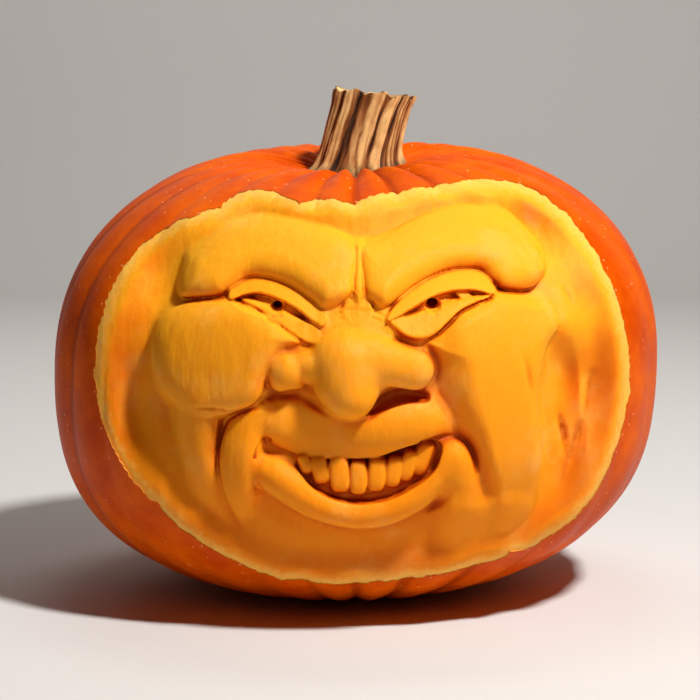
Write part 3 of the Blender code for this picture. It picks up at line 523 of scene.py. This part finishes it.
def shape_eyes(relief):
    """Each eye is a socket cut under the brow, with a ball, an upper lid and a lower lid laid into it."""
    x, level = relief.x, relief.level
    relief.dig(
        [(19, 46), (25, 52), (33, 57), (42, 61), (52, 63.5), (60, 64), (66, 58), (57, 55), (47, 53),
         (37, 50), (27, 47)],
        20, slope=3, soft=0.5,
    )
    relief.dome((38, 53.5), (17, 8.5, 5), 14, turn=12)
    relief.pad([(49, 60), (54, 60.5), (57.5, 56), (54, 54)], 11.5, rise=0.5, shoulder=0.6, soft=0.3, fall=3)
    relief.pad([(60, 60), (69, 58), (68, 55), (60, 55)], 12.5, rise=0.5, shoulder=0.6, soft=0.3, fall=3)
    low = np.interp(x, [20, 26, 34, 42, 51, 60, 69], [47.5, 51, 55.3, 58.6, 60, 59.5, 57.5])
    relief.pad(
        [(16, 47), (22, 56), (31, 62.5), (42, 67), (52, 69.5), (60, 70), (66, 67), (69.5, 57.5),
         (60, 59.5), (51, 60), (42, 58.6), (34, 55.3), (26, 51), (20, 47.5)],
        8 + 0.45 * (level - low), rise=0.6, shoulder=0.8, soft=0.3, fall=3,
    )
    low = np.interp(x, [17, 21, 27, 34, 40, 46, 52, 60, 68], [45, 41.5, 38, 37.5, 40, 45, 50, 53.5, 57])
    relief.pad(
        [(17, 46), (20, 47.2), (27, 48.2), (37, 51), (47, 53.7), (57, 55.5), (68, 56.5), (60, 53.5),
         (52, 50), (46, 45), (40, 40), (34, 37.5), (27, 38), (21, 41.5)],
        8.5 + 0.25 * (level - low), rise=1, shoulder=1.4, soft=0.3, fall=3,
    )
    relief.crease(
        [(19, 46, 2, 0.4), (20.5, 42, 2, 0.7), (26, 37.8, 2, 0.9), (34, 37, 2, 0.9), (41, 40, 2, 0.9),
         (47, 45, 2, 0.8), (53, 50, 2, 0.7), (62, 54, 2, 0.3)]
    )
    relief.dig(
        [(-57, 56), (-54, 59.5), (-49, 61), (-42, 60.5), (-34, 57), (-27, 53), (-20, 47), (-18, 43),
         (-27, 46), (-37, 50), (-46, 52), (-53, 54)],
        19, slope=3, soft=0.5,
    )
    relief.dome((-38, 51.5), (13, 6.5, 4), 13.5, turn=-22)
    low = np.interp(x, [-55, -49, -42, -34, -27, -19], [57, 58.3, 57.3, 54.4, 50.8, 45])
    relief.pad(
        [(-62, 55), (-60, 65), (-50, 70), (-40, 69.5), (-29, 66), (-21, 60), (-13, 53), (-15, 44),
         (-19, 45), (-27, 50.8), (-34, 54.4), (-42, 57.3), (-49, 58.3), (-55, 57)],
        9.5 + 0.35 * (level - low), rise=0.6, shoulder=0.8, soft=0.3, fall=3,
    )
    low = np.interp(x, [-52, -46, -38, -30, -22, -17], [51.5, 49, 44.5, 39, 35, 36])
    relief.pad(
        [(-55, 54.5), (-46, 52.5), (-37, 50.3), (-27, 46.3), (-17, 41.5), (-17, 36), (-22, 35),
         (-30, 39), (-38, 44.5), (-46, 49), (-52, 51.5)],
        9.5 + 0.3 * (level - low), rise=1.2, shoulder=1.5, soft=0.4, fall=2,
    )
    relief.crease(
        [(-97, 44, 1.3, 0.3), (-90, 49, 1.3, 1), (-82, 52, 1.3, 1), (-61, 54, 1.3, 1.5), (-50, 51.5, 1.3, 2),
         (-39, 44.5, 1.3, 2), (-30, 38.5, 1.3, 2.2), (-22, 34.5, 1.3, 1.5), (-16, 35, 1.3, 0.3)]
    )
    for across, up, radius in PUPILS:
        out = np.hypot((x - across) / 1.2, level - up)
        relief.sink_to(26 - 8 * np.maximum(out - radius + 0.3, 0), 0.3)


def carve_mouth(flesh):
    """The muzzle, the lower lip and the lit side of the chin, the slot between them and eight teeth."""
    flesh.roll(
        [(-46, -4, 17, 8), (-38, -5, 14.5, 10.5), (-28, -6.5, 17, 12), (-14, -8, 18.5, 13),
         (-2, -8, 17.5, 14), (8, -7.5, 14, 14), (18, -6, 12, 14), (30, -4, 11.5, 12.5), (40, -5, 16, 10)],
        3, deep=0.7,
    )
    flesh.roll([(-32, 1, 17, 9), (0, 2, 17.5, 9), (33, 1, 17, 9)], 4, deep=0.8)
    flesh.roll(
        [(-49, -27, 12, 6), (-41, -30, 9.5, 9.5), (-32, -35.5, 8, 10), (-22, -43, 7.5, 9), (-10, -48, 7, 8.5),
         (3, -50, 7, 8.5), (16, -48, 7, 8.5), (30, -41, 8, 8.5), (40, -30, 9.5, 9), (48, -23, 10, 9)],
        3, deep=1.2,
    )
    flesh.roll([(48, -23, 9.5, 9), (51, -33, 9, 11), (51, -48, 9.5, 12), (46, -64, 11, 12)], 5, deep=0.8)
    flesh.ball(44, -57, 13, (9, 8, 8), 4)
    flesh.roll(
        [(-25, -26, 28, 4.5), (-17, -30.5, 30, 7.5), (-7, -32.8, 31, 10.5), (3, -34, 31, 11.6),
         (15, -32.3, 31, 11), (25, -27.5, 30, 10.5), (32, -23.5, 29, 9), (38, -19, 26, 5.5)],
        0.8, cut=True, deep=1.4,
    )
    flesh.roll(
        [(-25, -23, 22, 1.2), (-34, -20, 21, 1.3), (-41, -17, 20, 1.3), (-44, -13, 19, 1.2)],
        1, cut=True, deep=3,
    )
    flesh.roll([(-42, -13, 19, 1.4), (-46.5, -16.5, 15, 1.2), (-49.5, -22, 13, 0.8)], 1, cut=True)
    flesh.roll(
        [(33, -14, 19, 1.2), (44, -12, 18, 1.3), (53, -13.5, 17, 1.4), (58, -20, 16, 1.3),
         (61, -30, 12, 1.2)],
        1, cut=True, deep=3,
    )
    flesh.roll(
        [(-26, -26, 20, 5), (-8, -33, 19.5, 8), (3, -34, 19.5, 9), (16, -32, 19.5, 8.5),
         (28, -27, 19.5, 8), (39, -18, 19.5, 6)],
        2, deep=0.7,
    )
    for x, level, wide, tall, turn in (
        (-24.5, -25.5, 7, 11, 16),
        (-17, -28.3, 9.2, 15, 10),
        (-7.4, -30.5, 10.6, 19, 4),
        (1.9, -32, 9.2, 18, 0),
        (10.9, -30.4, 9.6, 18, -4),
        (19.3, -29.2, 8.8, 16.5, -9),
        (26.4, -26.2, 8.2, 17, -14),
        (33.6, -22.6, 9.6, 19, -18),
    ):
        flesh.ball(x, level, 15.5 + abs(x - 4) * 0.04, (wide / 2, 7, tall / 2), 0.4, turn=turn, box=3.6)
    flesh.roll(
        [(-24, -34, 20, 2.4), (-10, -41, 18.5, 3.2), (2, -43.5, 18.5, 3.2), (15, -41.5, 18.5, 3.2),
         (26, -36.5, 19.5, 3), (35, -29, 21, 2.4)],
        1.2,
    )


def carve_nose(flesh):
    """The bridge, the ball of the nose, its two wings and the hollows under them."""
    flesh.roll([(-16, 40, 14, 6), (0, 39, 11, 6), (17, 40, 13, 6), (30, 33, 13, 7)], 4)
    flesh.roll([(-18, 40, 13, 6), (-30, 33, 12, 6), (-40, 24, 13, 4)], 4)
    flesh.roll([(-31, 24, 9, 9), (-16, 24, 7, 9)], 3)
    flesh.ball(-33, 21.5, 5.5, (12, 14, 12), 1)
    flesh.roll([(4, 26, 3, 16), (18, 25, 5, 11.5), (28, 22, 6.5, 11)], 3)
    flesh.ball(-3.5, 25.5, 0.9, (22, 25, 19), 1.2)
    flesh.roll([(-3.5, 18, 1, 18), (-2, 11, 1.2, 13)], 3)
    for under_wing, deep in (
        ([(8, 1.5, 22, 2.5), (16, 6.5, 27, 4.3), (25, 9, 27, 4.2), (34, 8, 23, 2.6)], 1.8),
        ([(-39, 8, 17, 1.5), (-29, 9.5, 20, 3.2), (-20, 5, 20, 3.2), (-13, -1, 17, 1.5)], 2),
    ):
        flesh.roll(under_wing, 1.5, cut=True, deep=deep)


def make_flesh():
    """The carved flesh as one skin of faces, read off the block where its distance is 0."""
    block = Block(GRID, 1.8 * GRID)
    for step in (carve_mouth, carve_nose):
        step(block)
    volume = openvdb.FloatGrid()
    volume.copyFromArray(block.far)
    cells, quads = volume.convertToQuads()
    points = np.column_stack([np.interp(cells[:, k], np.arange(len(side)), side)
                              for k, side in enumerate((block.x, block.y, block.z))])
    from_edge = inside(RIND_EDGE, points[:, 0], points[:, 2])
    kept = (from_edge > -5)[quads].all(1) & (points[:, 1] < -30)[quads].all(1)
    used, faces = np.unique(quads[kept], return_inverse=True)
    points = points[used]
    ways = block.outward(points)
    # How enclosed each point is; the flesh material paints shade into hollows from it.
    shut_in = sum(1 - block.sample(points + ways * reach) / reach for reach in (2, 5, 10)) / 3
    faces = faces.reshape(-1, 4)
    points[:, 2] += MIDDLE
    mesh = bpy.data.meshes.new("carved_flesh")
    mesh.from_pydata(points * MM, [], faces.tolist())
    flesh = bpy.data.objects.new("carved_flesh", mesh)
    bpy.context.scene.collection.objects.link(flesh)
    note(flesh, "from_edge", from_edge[used])
    note(flesh, "shut_in", np.clip(shut_in, -0.2, 1))
    take_up(flesh)
    thinned = flesh.modifiers.new("thinned", "DECIMATE")
    thinned.ratio = min(1, FLESH_TRIANGLES / (2 * len(faces)))
    bpy.ops.object.modifier_apply(modifier=thinned.name)
    bpy.ops.object.shade_smooth()
    return flesh


# ---- the rind ----


def make_rind():
    """A ball pushed out to the ribbed skin, with the face's pocket cut from its front."""
    columns, rows = ((360, 180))
    bpy.ops.mesh.primitive_uv_sphere_add(segments=columns, ring_count=rows, radius=1, location=(0, 0, 0))
    rind = bpy.context.object
    rind.name = "rind"
    ways = positions(rind)
    ways /= np.linalg.norm(ways, axis=1)[:, None]
    reach = np.full(len(ways), BASE_DEPTH)
    for _ in range(30):
        reach -= 0.8 * above_skin(*(ways * reach[:, None]).T)
    points = ways * reach[:, None]
    points[:, 2] += MIDDLE
    points[:, 2] = np.maximum(points[:, 2], 0)
    move_to(rind, points * MM)

    edge = RIND_EDGE
    bpy.ops.mesh.primitive_circle_add(vertices=len(edge), radius=1, fill_type="NGON", location=(0, 0, 0))
    cutter = bpy.context.object
    front = np.column_stack([edge[:, 0], np.full(len(edge), -190), edge[:, 1] + MIDDLE])
    move_to(cutter, front * MM)
    bpy.ops.object.mode_set(mode="EDIT")
    bpy.ops.mesh.select_all(action="SELECT")
    bpy.ops.mesh.extrude_region_move(TRANSFORM_OT_translate={"value": (0, 0.15, 0)})
    bpy.ops.mesh.select_all(action="SELECT")
    bpy.ops.mesh.normals_make_consistent(inside=False)
    bpy.ops.object.mode_set(mode="OBJECT")
    take_up(rind)
    cut = rind.modifiers.new("pocket", "BOOLEAN")
    cut.operation = "DIFFERENCE"
    cut.solver = "EXACT"
    cut.object = cutter
    bpy.ops.object.modifier_apply(modifier=cut.name)
    bpy.data.objects.remove(cutter)
    found = positions(rind)
    note(rind, "crown_of_rib", rib_crown(found[:, 0], found[:, 1]))
    for face in rind.data.polygons:
        if abs(face.normal.y) < 1e-3:
            x, y, z = face.center / MM
            face.material_index = int(y < -40 and abs(inside(edge, x, z - MIDDLE)) < 0.05)
    bpy.ops.object.shade_smooth_by_angle(angle=math.radians(40))
    return rind


# ---- the stem ----


def make_stem():
    """A thick fluted stem, drawn up ring by ring from its foot, twisting and leaning to the right, and cut
    off at the top."""
    count, levels = 14 * STEM_FLUTES, 30
    bpy.ops.mesh.primitive_circle_add(vertices=count, radius=1, fill_type="NGON", location=(0, 0, 0))
    stem = bpy.context.object
    stem.name = "stem_wood"
    bpy.ops.object.mode_set(mode="EDIT")
    for _ in range(levels):
        bpy.ops.mesh.extrude_region_move(TRANSFORM_OT_translate={"value": (0, 0, 1)})
    for _ in range(6):
        bpy.ops.mesh.inset(thickness=0.14, use_even_offset=False)
    bpy.ops.mesh.select_all(action="SELECT")
    bpy.ops.mesh.normals_make_consistent(inside=False)
    bpy.ops.object.mode_set(mode="OBJECT")
    points = positions(stem)
    turn = np.arctan2(points[:, 1], points[:, 0])
    within = np.hypot(points[:, 0], points[:, 1])
    share = points[:, 2] / levels
    uneven = turn + 0.09 * np.sin(2 * turn + 1) + 0.06 * np.sin(5 * turn)
    ridge = np.abs(np.sin(STEM_FLUTES / 2 * uneven)) ** 0.7
    ridge = ridge * (0.75 + 0.25 * np.sin(5 * turn + 2)) + 0.35 * np.abs(np.sin(21 * uneven + 3 * share))
    flare = np.exp(-share * 9)
    radius = STEM_RADIUS - STEM_TAPER * share + flare * (6 - np.cos(turn)) + 1.2 * ease(0.8, 1, share)
    out = within * (radius + (2.4 + 1.5 * flare) * (ridge - 0.5))
    swing = turn + STEM_TWIST * share
    x = out * np.cos(swing) + STEM_LEAN * share**1.4 + STEM_OFFSET
    y = out * np.sin(swing) * 0.92
    foot = skin_height(x, y) + MIDDLE - STEM_SUNK
    frayed = 0.8 * np.sin(9 * turn + 4 * within) + 0.7 * np.sin(17 * turn + 9 * within)
    frayed = (frayed - 3 * np.clip(1 - within, 0, 1) ** 0.7) * ease(0.9, 1, share)
    z = foot + (STEM_TOP_HEIGHT - foot) * share - (x - 12) * 0.11 * share + frayed
    move_to(stem, np.column_stack([x, y, z]) * MM)
    note(stem, "ridge", ridge)
    note(stem, "up_stem", share)
    note(stem, "within", within)
    note(stem, "grain_x", 20 * MM * within * np.cos(turn))
    note(stem, "grain_y", 20 * MM * within * np.sin(turn))
    take_up(stem)
    bpy.ops.object.shade_smooth_by_angle(angle=math.radians(50))
    return stem


# ---- materials ----


def colour(code):
    """An sRGB hex colour as the shader's linear one."""
    parts = [int(code[i:i + 2], 16) / 255 for i in (1, 3, 5)]
    return (*[p / 12.92 if p <= 0.04045 else ((p + 0.055) / 1.055) ** 2.4 for p in parts], 1)


def add(tree, kind, settings=None, **links):
    """A node of this kind with its settings, and its inputs set to values or linked to outputs."""
    node = tree.nodes.new(kind)
    for name, value in (settings or {}).items():
        setattr(node, name, value)
    for name, value in links.items():
        socket = node.inputs[int(name[1:])] if name[1:].isdigit() else node.inputs[name.replace("_", " ")]
        if isinstance(value, bpy.types.NodeSocket):
            tree.links.new(value, socket)
        else:
            socket.default_value = value
    return node


def new_material(name):
    material = bpy.data.materials.new(name)
    material.use_nodes = True
    tree = material.node_tree
    return material, tree, tree.nodes["Principled BSDF"]


def flesh_material():
    material, tree, shader = new_material("raw pumpkin flesh, knife cut")
    link = tree.links.new
    place = add(tree, "ShaderNodeTexCoord").outputs["Object"]
    shut_in = add(tree, "ShaderNodeAttribute", {"attribute_name": "shut_in"}).outputs["Fac"]
    from_edge = add(tree, "ShaderNodeAttribute", {"attribute_name": "from_edge"}).outputs["Fac"]

    # Painted shade grows with shut_in, how enclosed the flesh is, and is eased off where the flesh is high,
    # so hollows there keep the yellow of the brows.
    height = add(tree, "ShaderNodeSeparateXYZ", None, Vector=place)
    shade_eased_high = add(tree, "ShaderNodeMapRange", SMOOTH, Value=height.outputs["Z"], From_Min=140 * MM,
              From_Max=185 * MM, To_Max=-0.2)
    painted_shade = add(tree, "ShaderNodeMath", {"operation": "ADD"}, _0=shut_in, _1=shade_eased_high.outputs["Result"])
    # Cloudy patches a few centimetres wide keep the broad forms from looking like one flat paint; they are
    # added to the painted shade, so its deeper orange breaks into patches.
    cloud = add(tree, "ShaderNodeTexNoise", None, Vector=place, Scale=1 / (22 * MM), Detail=5.0,
                Roughness=0.6)
    mixed = add(tree, "ShaderNodeMath", {"operation": "MULTIPLY_ADD"}, _0=cloud.outputs["Fac"], _1=0.9,
                _2=painted_shade.outputs[0])
    share = add(tree, "ShaderNodeMapRange", SMOOTH, Value=mixed.outputs[0], From_Min=0.5, From_Max=1.15)
    # Painted shade: the low flesh is a deeper orange than the brows, where less light falls on the face.
    painted_shade_low = add(tree, "ShaderNodeMapRange", None, Value=height.outputs["Z"], From_Min=60 * MM,
               From_Max=185 * MM)
    base = add(tree, "ShaderNodeMix", COLOURS, _0=painted_shade_low.outputs["Result"], _6=colour("#F5900C"),
               _7=colour("#F9A61C"))
    hue = add(tree, "ShaderNodeMix", COLOURS, _0=share.outputs["Result"], _6=base.outputs[2],
              _7=colour("#EC7C04"))
    pale = add(tree, "ShaderNodeTexNoise", None, Vector=place, Scale=1 / (40 * MM), Detail=6.0,
               Roughness=0.7)
    share = add(tree, "ShaderNodeMapRange", SMOOTH, Value=pale.outputs["Fac"], From_Min=0.5, From_Max=0.68,
                To_Max=0.35)
    hue = add(tree, "ShaderNodeMix", COLOURS, _0=share.outputs["Result"], _6=hue.outputs[2],
              _7=colour("#F5B45A"))
    # Painted shade: hollows are painted a deeper orange, and the narrowest cuts almost brown.
    share = add(tree, "ShaderNodeMapRange", SMOOTH, Value=painted_shade.outputs[0], From_Min=0.28, From_Max=0.82)
    hue = add(tree, "ShaderNodeMix", COLOURS, _0=share.outputs["Result"], _6=hue.outputs[2],
              _7=colour("#B84400"))
    share = add(tree, "ShaderNodeMapRange", SMOOTH, Value=shut_in, From_Min=0.9, From_Max=1.0)
    hue = add(tree, "ShaderNodeMix", COLOURS, _0=share.outputs["Result"], _6=hue.outputs[2],
              _7=colour("#A64202"))
    # The flesh next to the rind is pale and fibrous.
    fibre = add(tree, "ShaderNodeTexNoise", None, Vector=place, Scale=1 / (2.5 * MM), Detail=3.0)
    ragged = add(tree, "ShaderNodeMath", {"operation": "MULTIPLY_ADD"}, _0=fibre.outputs["Fac"], _1=7.0,
                 _2=from_edge)
    share = add(tree, "ShaderNodeMapRange", SMOOTH, Value=ragged.outputs[0], From_Min=4.0, From_Max=10.0,
                To_Min=0.7, To_Max=0.0)
    hue = add(tree, "ShaderNodeMix", COLOURS, _0=share.outputs["Result"], _6=hue.outputs[2],
              _7=colour("#F7BE5A"))
    link(hue.outputs[2], shader.inputs["Base Color"])

    # Broad knife strokes and a fine wet grain catch the light unevenly.
    slant = add(tree, "ShaderNodeMapping", None, Vector=place, Rotation=(0, math.radians(25), 0),
                Scale=(1, 1, 0.35))
    stroke = add(tree, "ShaderNodeTexNoise", None, Vector=slant.outputs["Vector"], Scale=1 / (7 * MM),
                 Detail=3.0)
    broad = add(tree, "ShaderNodeBump", None, Strength=1.0, Distance=1.0 * MM, Height=stroke.outputs["Fac"])
    fine = add(tree, "ShaderNodeBump", None, Strength=0.5, Distance=0.15 * MM, Height=fibre.outputs["Fac"],
               Normal=broad.outputs["Normal"])
    link(fine.outputs["Normal"], shader.inputs["Normal"])
    shader.inputs["Roughness"].default_value = 0.55
    shader.inputs["IOR"].default_value = 1.4
    shader.inputs["Specular IOR Level"].default_value = 0.15
    shader.inputs["Subsurface Weight"].default_value = 0.6
    shader.inputs["Subsurface Radius"].default_value = (1.0, 0.35, 0.05)
    shader.inputs["Subsurface Scale"].default_value = 4 * MM
    return material


def rind_material():
    material, tree, shader = new_material("waxy pumpkin rind")
    link = tree.links.new
    place = add(tree, "ShaderNodeTexCoord").outputs["Object"]
    crown = add(tree, "ShaderNodeAttribute", {"attribute_name": "crown_of_rib"}).outputs["Fac"]

    # Ripe patches, and painted shade: a duller brown-orange down in the grooves.
    cloud = add(tree, "ShaderNodeTexNoise", None, Vector=place, Scale=1 / (28 * MM), Detail=6.0,
                Roughness=0.65)
    share = add(tree, "ShaderNodeMapRange", None, Value=cloud.outputs["Fac"], From_Min=0.35, From_Max=0.7)
    hue = add(tree, "ShaderNodeMix", COLOURS, _0=share.outputs["Result"], _6=colour("#C84200"),
              _7=colour("#E86200"))
    # Painted shade: the grooves between the ribs go a duller brown-orange.
    share = add(tree, "ShaderNodeMapRange", SMOOTH, Value=crown, From_Min=0.2, From_Max=0.6, To_Min=0.55,
                To_Max=0.0)
    hue = add(tree, "ShaderNodeMix", COLOURS, _0=share.outputs["Result"], _6=hue.outputs[2],
              _7=colour("#8E2600"))
    # Fine pale netting like crazed skin.
    warp = add(tree, "ShaderNodeTexNoise", None, Vector=place, Scale=1 / (6 * MM), Detail=3.0)
    bent = add(tree, "ShaderNodeMix", {"data_type": "VECTOR"}, _0=0.012, _4=place, _5=warp.outputs["Color"])
    net = add(tree, "ShaderNodeTexVoronoi", {"feature": "DISTANCE_TO_EDGE"}, Vector=bent.outputs[1],
              Scale=1 / (5 * MM))
    line = add(tree, "ShaderNodeMapRange", SMOOTH, Value=net.outputs["Distance"], From_Min=0.0,
               From_Max=0.06, To_Min=1.0, To_Max=0.0)
    worn = add(tree, "ShaderNodeMapRange", None, Value=cloud.outputs["Fac"], From_Min=0.5, From_Max=0.7,
               To_Max=0.25)
    share = add(tree, "ShaderNodeMath", {"operation": "MULTIPLY"}, _0=line.outputs["Result"],
                _1=worn.outputs["Result"])
    hue = add(tree, "ShaderNodeMix", COLOURS, _0=share.outputs[0], _6=hue.outputs[2], _7=colour("#F08018"))
    # Pin-head specks all over.
    specks = add(tree, "ShaderNodeTexVoronoi", None, Vector=place, Scale=1 / (6 * MM))
    share = add(tree, "ShaderNodeMapRange", None, Value=specks.outputs["Distance"], From_Min=0.06,
                From_Max=0.11, To_Min=0.75, To_Max=0.0)
    hue = add(tree, "ShaderNodeMix", COLOURS, _0=share.outputs["Result"], _6=hue.outputs[2],
              _7=colour("#FFC080"))
    link(hue.outputs[2], shader.inputs["Base Color"])

    # Shallow dimples break up the wax's shine.
    dimple = add(tree, "ShaderNodeTexNoise", None, Vector=place, Scale=1 / (3.5 * MM), Detail=3.0)
    bump = add(tree, "ShaderNodeBump", None, Strength=0.8, Distance=0.35 * MM, Height=dimple.outputs["Fac"])
    link(bump.outputs["Normal"], shader.inputs["Normal"])
    rough = add(tree, "ShaderNodeMapRange", None, Value=cloud.outputs["Fac"], From_Min=0.3, From_Max=0.7,
                To_Min=0.32, To_Max=0.5)
    link(rough.outputs["Result"], shader.inputs["Roughness"])
    shader.inputs["IOR"].default_value = 1.2
    shader.inputs["Specular IOR Level"].default_value = 0.18
    return material


def stem_material():
    material, tree, shader = new_material("dry corky stem")
    link = tree.links.new
    place = add(tree, "ShaderNodeTexCoord").outputs["Object"]
    ridge = add(tree, "ShaderNodeAttribute", {"attribute_name": "ridge"}).outputs["Fac"]
    up_stem = add(tree, "ShaderNodeAttribute", {"attribute_name": "up_stem"}).outputs["Fac"]
    within = add(tree, "ShaderNodeAttribute", {"attribute_name": "within"}).outputs["Fac"]

    # Straw-coloured ridges weathered brown in streaks that follow the grain; nearly black between them, the
    # bark's own darker groove with painted shade over it.
    grain_x = add(tree, "ShaderNodeAttribute", {"attribute_name": "grain_x"}).outputs["Fac"]
    grain_y = add(tree, "ShaderNodeAttribute", {"attribute_name": "grain_y"}).outputs["Fac"]
    slow = add(tree, "ShaderNodeMath", {"operation": "MULTIPLY"}, _0=up_stem, _1=4 * MM)
    grain = add(tree, "ShaderNodeCombineXYZ", None, X=grain_x, Y=grain_y, Z=slow.outputs[0])
    streak = add(tree, "ShaderNodeTexNoise", None, Vector=grain.outputs["Vector"], Scale=1 / (2.2 * MM),
                 Detail=4.0, Roughness=0.65)
    patch = add(tree, "ShaderNodeTexNoise", None, Vector=place, Scale=1 / (9 * MM), Detail=4.0)
    mixed = add(tree, "ShaderNodeMath", {"operation": "MULTIPLY_ADD"}, _0=streak.outputs["Fac"], _1=0.9,
                _2=ridge)
    share = add(tree, "ShaderNodeMapRange", SMOOTH, Value=mixed.outputs[0], From_Min=1.0, From_Max=1.45)
    hue = add(tree, "ShaderNodeMix", COLOURS, _0=share.outputs["Result"], _6=colour("#8A4C1A"),
              _7=colour("#E8BC78"))
    share = add(tree, "ShaderNodeMapRange", None, Value=patch.outputs["Fac"], From_Min=0.45, From_Max=0.65,
                To_Max=0.45)
    hue = add(tree, "ShaderNodeMix", COLOURS, _0=share.outputs["Result"], _6=hue.outputs[2],
              _7=colour("#A8682E"))
    # Painted shade over the bark's own darker colour: the grooves between the flutes go nearly black.
    share = add(tree, "ShaderNodeMapRange", SMOOTH, Value=mixed.outputs[0], From_Min=0.75, From_Max=1.15,
                To_Min=1.0, To_Max=0.0)
    hue = add(tree, "ShaderNodeMix", COLOURS, _0=share.outputs["Result"], _6=hue.outputs[2],
              _7=colour("#2A170A"))
    # The foot stays damp and dark.
    share = add(tree, "ShaderNodeMapRange", SMOOTH, Value=up_stem, From_Min=0.03, From_Max=0.2, To_Min=0.75,
                To_Max=0.0)
    hue = add(tree, "ShaderNodeMix", COLOURS, _0=share.outputs["Result"], _6=hue.outputs[2],
              _7=colour("#3C2A1C"))
    # The cut top is bare straw-coloured fibre.
    share = add(tree, "ShaderNodeMapRange", SMOOTH, Value=within, From_Min=0.8, From_Max=0.95, To_Min=0.8,
                To_Max=0.0)
    hue = add(tree, "ShaderNodeMix", COLOURS, _0=share.outputs["Result"], _6=hue.outputs[2],
              _7=colour("#B88A54"))
    link(hue.outputs[2], shader.inputs["Base Color"])
    bump = add(tree, "ShaderNodeBump", None, Strength=1.0, Distance=0.7 * MM, Height=streak.outputs["Fac"])
    link(bump.outputs["Normal"], shader.inputs["Normal"])
    shader.inputs["Roughness"].default_value = 0.8
    shader.inputs["Specular IOR Level"].default_value = 0.25
    return material


# ---- the object ----

flesh = make_flesh()
flesh.data.materials.append(flesh_material())
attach(flesh, "root")
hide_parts("carved_pumpkin")

rind = make_rind()
rind.data.materials.append(rind_material())
rind.data.materials.append(flesh.data.materials[0])
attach(rind, "root")
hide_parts("carved_pumpkin")

stem = make_stem()
stem.data.materials.append(stem_material())
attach(stem, "root")
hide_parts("stem")

# ---- the studio ----


def make_floor():
    """A pale floor that curves up into a backdrop well behind the pumpkin."""
    deselect()
    bpy.ops.mesh.primitive_plane_add(size=1, location=(0, 0, 0))
    floor = bpy.context.object
    floor.name = "studio_floor"
    move_to(floor, [(-4, -3, 0), (4, -3, 0), (-4, 1.6, 0), (4, 1.6, 0)])
    bpy.ops.object.mode_set(mode="EDIT")
    bpy.ops.mesh.select_mode(type="EDGE")
    bpy.ops.mesh.select_all(action="DESELECT")
    bpy.ops.object.mode_set(mode="OBJECT")
    for edge in floor.data.edges:
        edge.select = all(floor.data.vertices[v].co.y > 1 for v in edge.vertices)
    bpy.ops.object.mode_set(mode="EDIT")
    for step in range(1, 13):
        tilt = math.radians(90 * step / 12)
        reach = 0.09
        bpy.ops.mesh.extrude_region_move(
            TRANSFORM_OT_translate={"value": (0, reach * math.cos(tilt), reach * math.sin(tilt))}
        )
    bpy.ops.mesh.extrude_region_move(TRANSFORM_OT_translate={"value": (0, 0, 2.5)})
    bpy.ops.object.mode_set(mode="OBJECT")
    bpy.ops.object.shade_smooth()
    material, tree, shader = new_material("matt paper backdrop")
    shader.inputs["Base Color"].default_value = colour("#D6D3CE")
    shader.inputs["Roughness"].default_value = 0.8
    floor.data.materials.append(material)
    return floor


def area_light(name, place, size, power, hue="#FFFFFF", aim=(0, -0.05, 0.13)):
    light = bpy.data.lights.new(name, "AREA")
    light.shape = "DISK"
    light.size = size
    light.energy = power
    light.color = colour(hue)[:3]
    lamp = bpy.data.objects.new(name, light)
    bpy.context.scene.collection.objects.link(lamp)
    lamp.location = place
    lamp.rotation_euler = (Vector(aim) - Vector(place)).to_track_quat("-Z", "Y").to_euler()
    return lamp


make_floor()
for lamp in (
    area_light("key", (0.74, -0.86, 1.6), 0.22, 47),
    area_light("fill", (-1.3, -1.0, 0.7), 1.2, 0.3, "#FF9A58"),
    area_light("backdrop", (0, 0.5, 1.5), 0.8, 8, aim=(0, 1.6, 0.5)),
    area_light("back", (-0.5, 1.1, 1.2), 1.0, 1.5),
):
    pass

world = bpy.data.worlds.new("studio")
bpy.context.scene.world = world
world.use_nodes = True
world.node_tree.nodes["Background"].inputs["Color"].default_value = colour("#FFB080")
world.node_tree.nodes["Background"].inputs["Strength"].default_value = 0.03
bpy.context.scene.view_settings.view_transform = "Standard"

lens = bpy.data.cameras.new("camera")
lens.lens = LENS
camera = bpy.data.objects.new("camera", lens)
bpy.context.scene.collection.objects.link(camera)
place = Vector((AIM[0], -AWAY * math.cos(LOOKS_DOWN), AIM[1] + AWAY * math.sin(LOOKS_DOWN)))
camera.location = place * MM
camera.rotation_euler = (math.radians(90) - LOOKS_DOWN, 0, 0)
bpy.context.scene.camera = camera
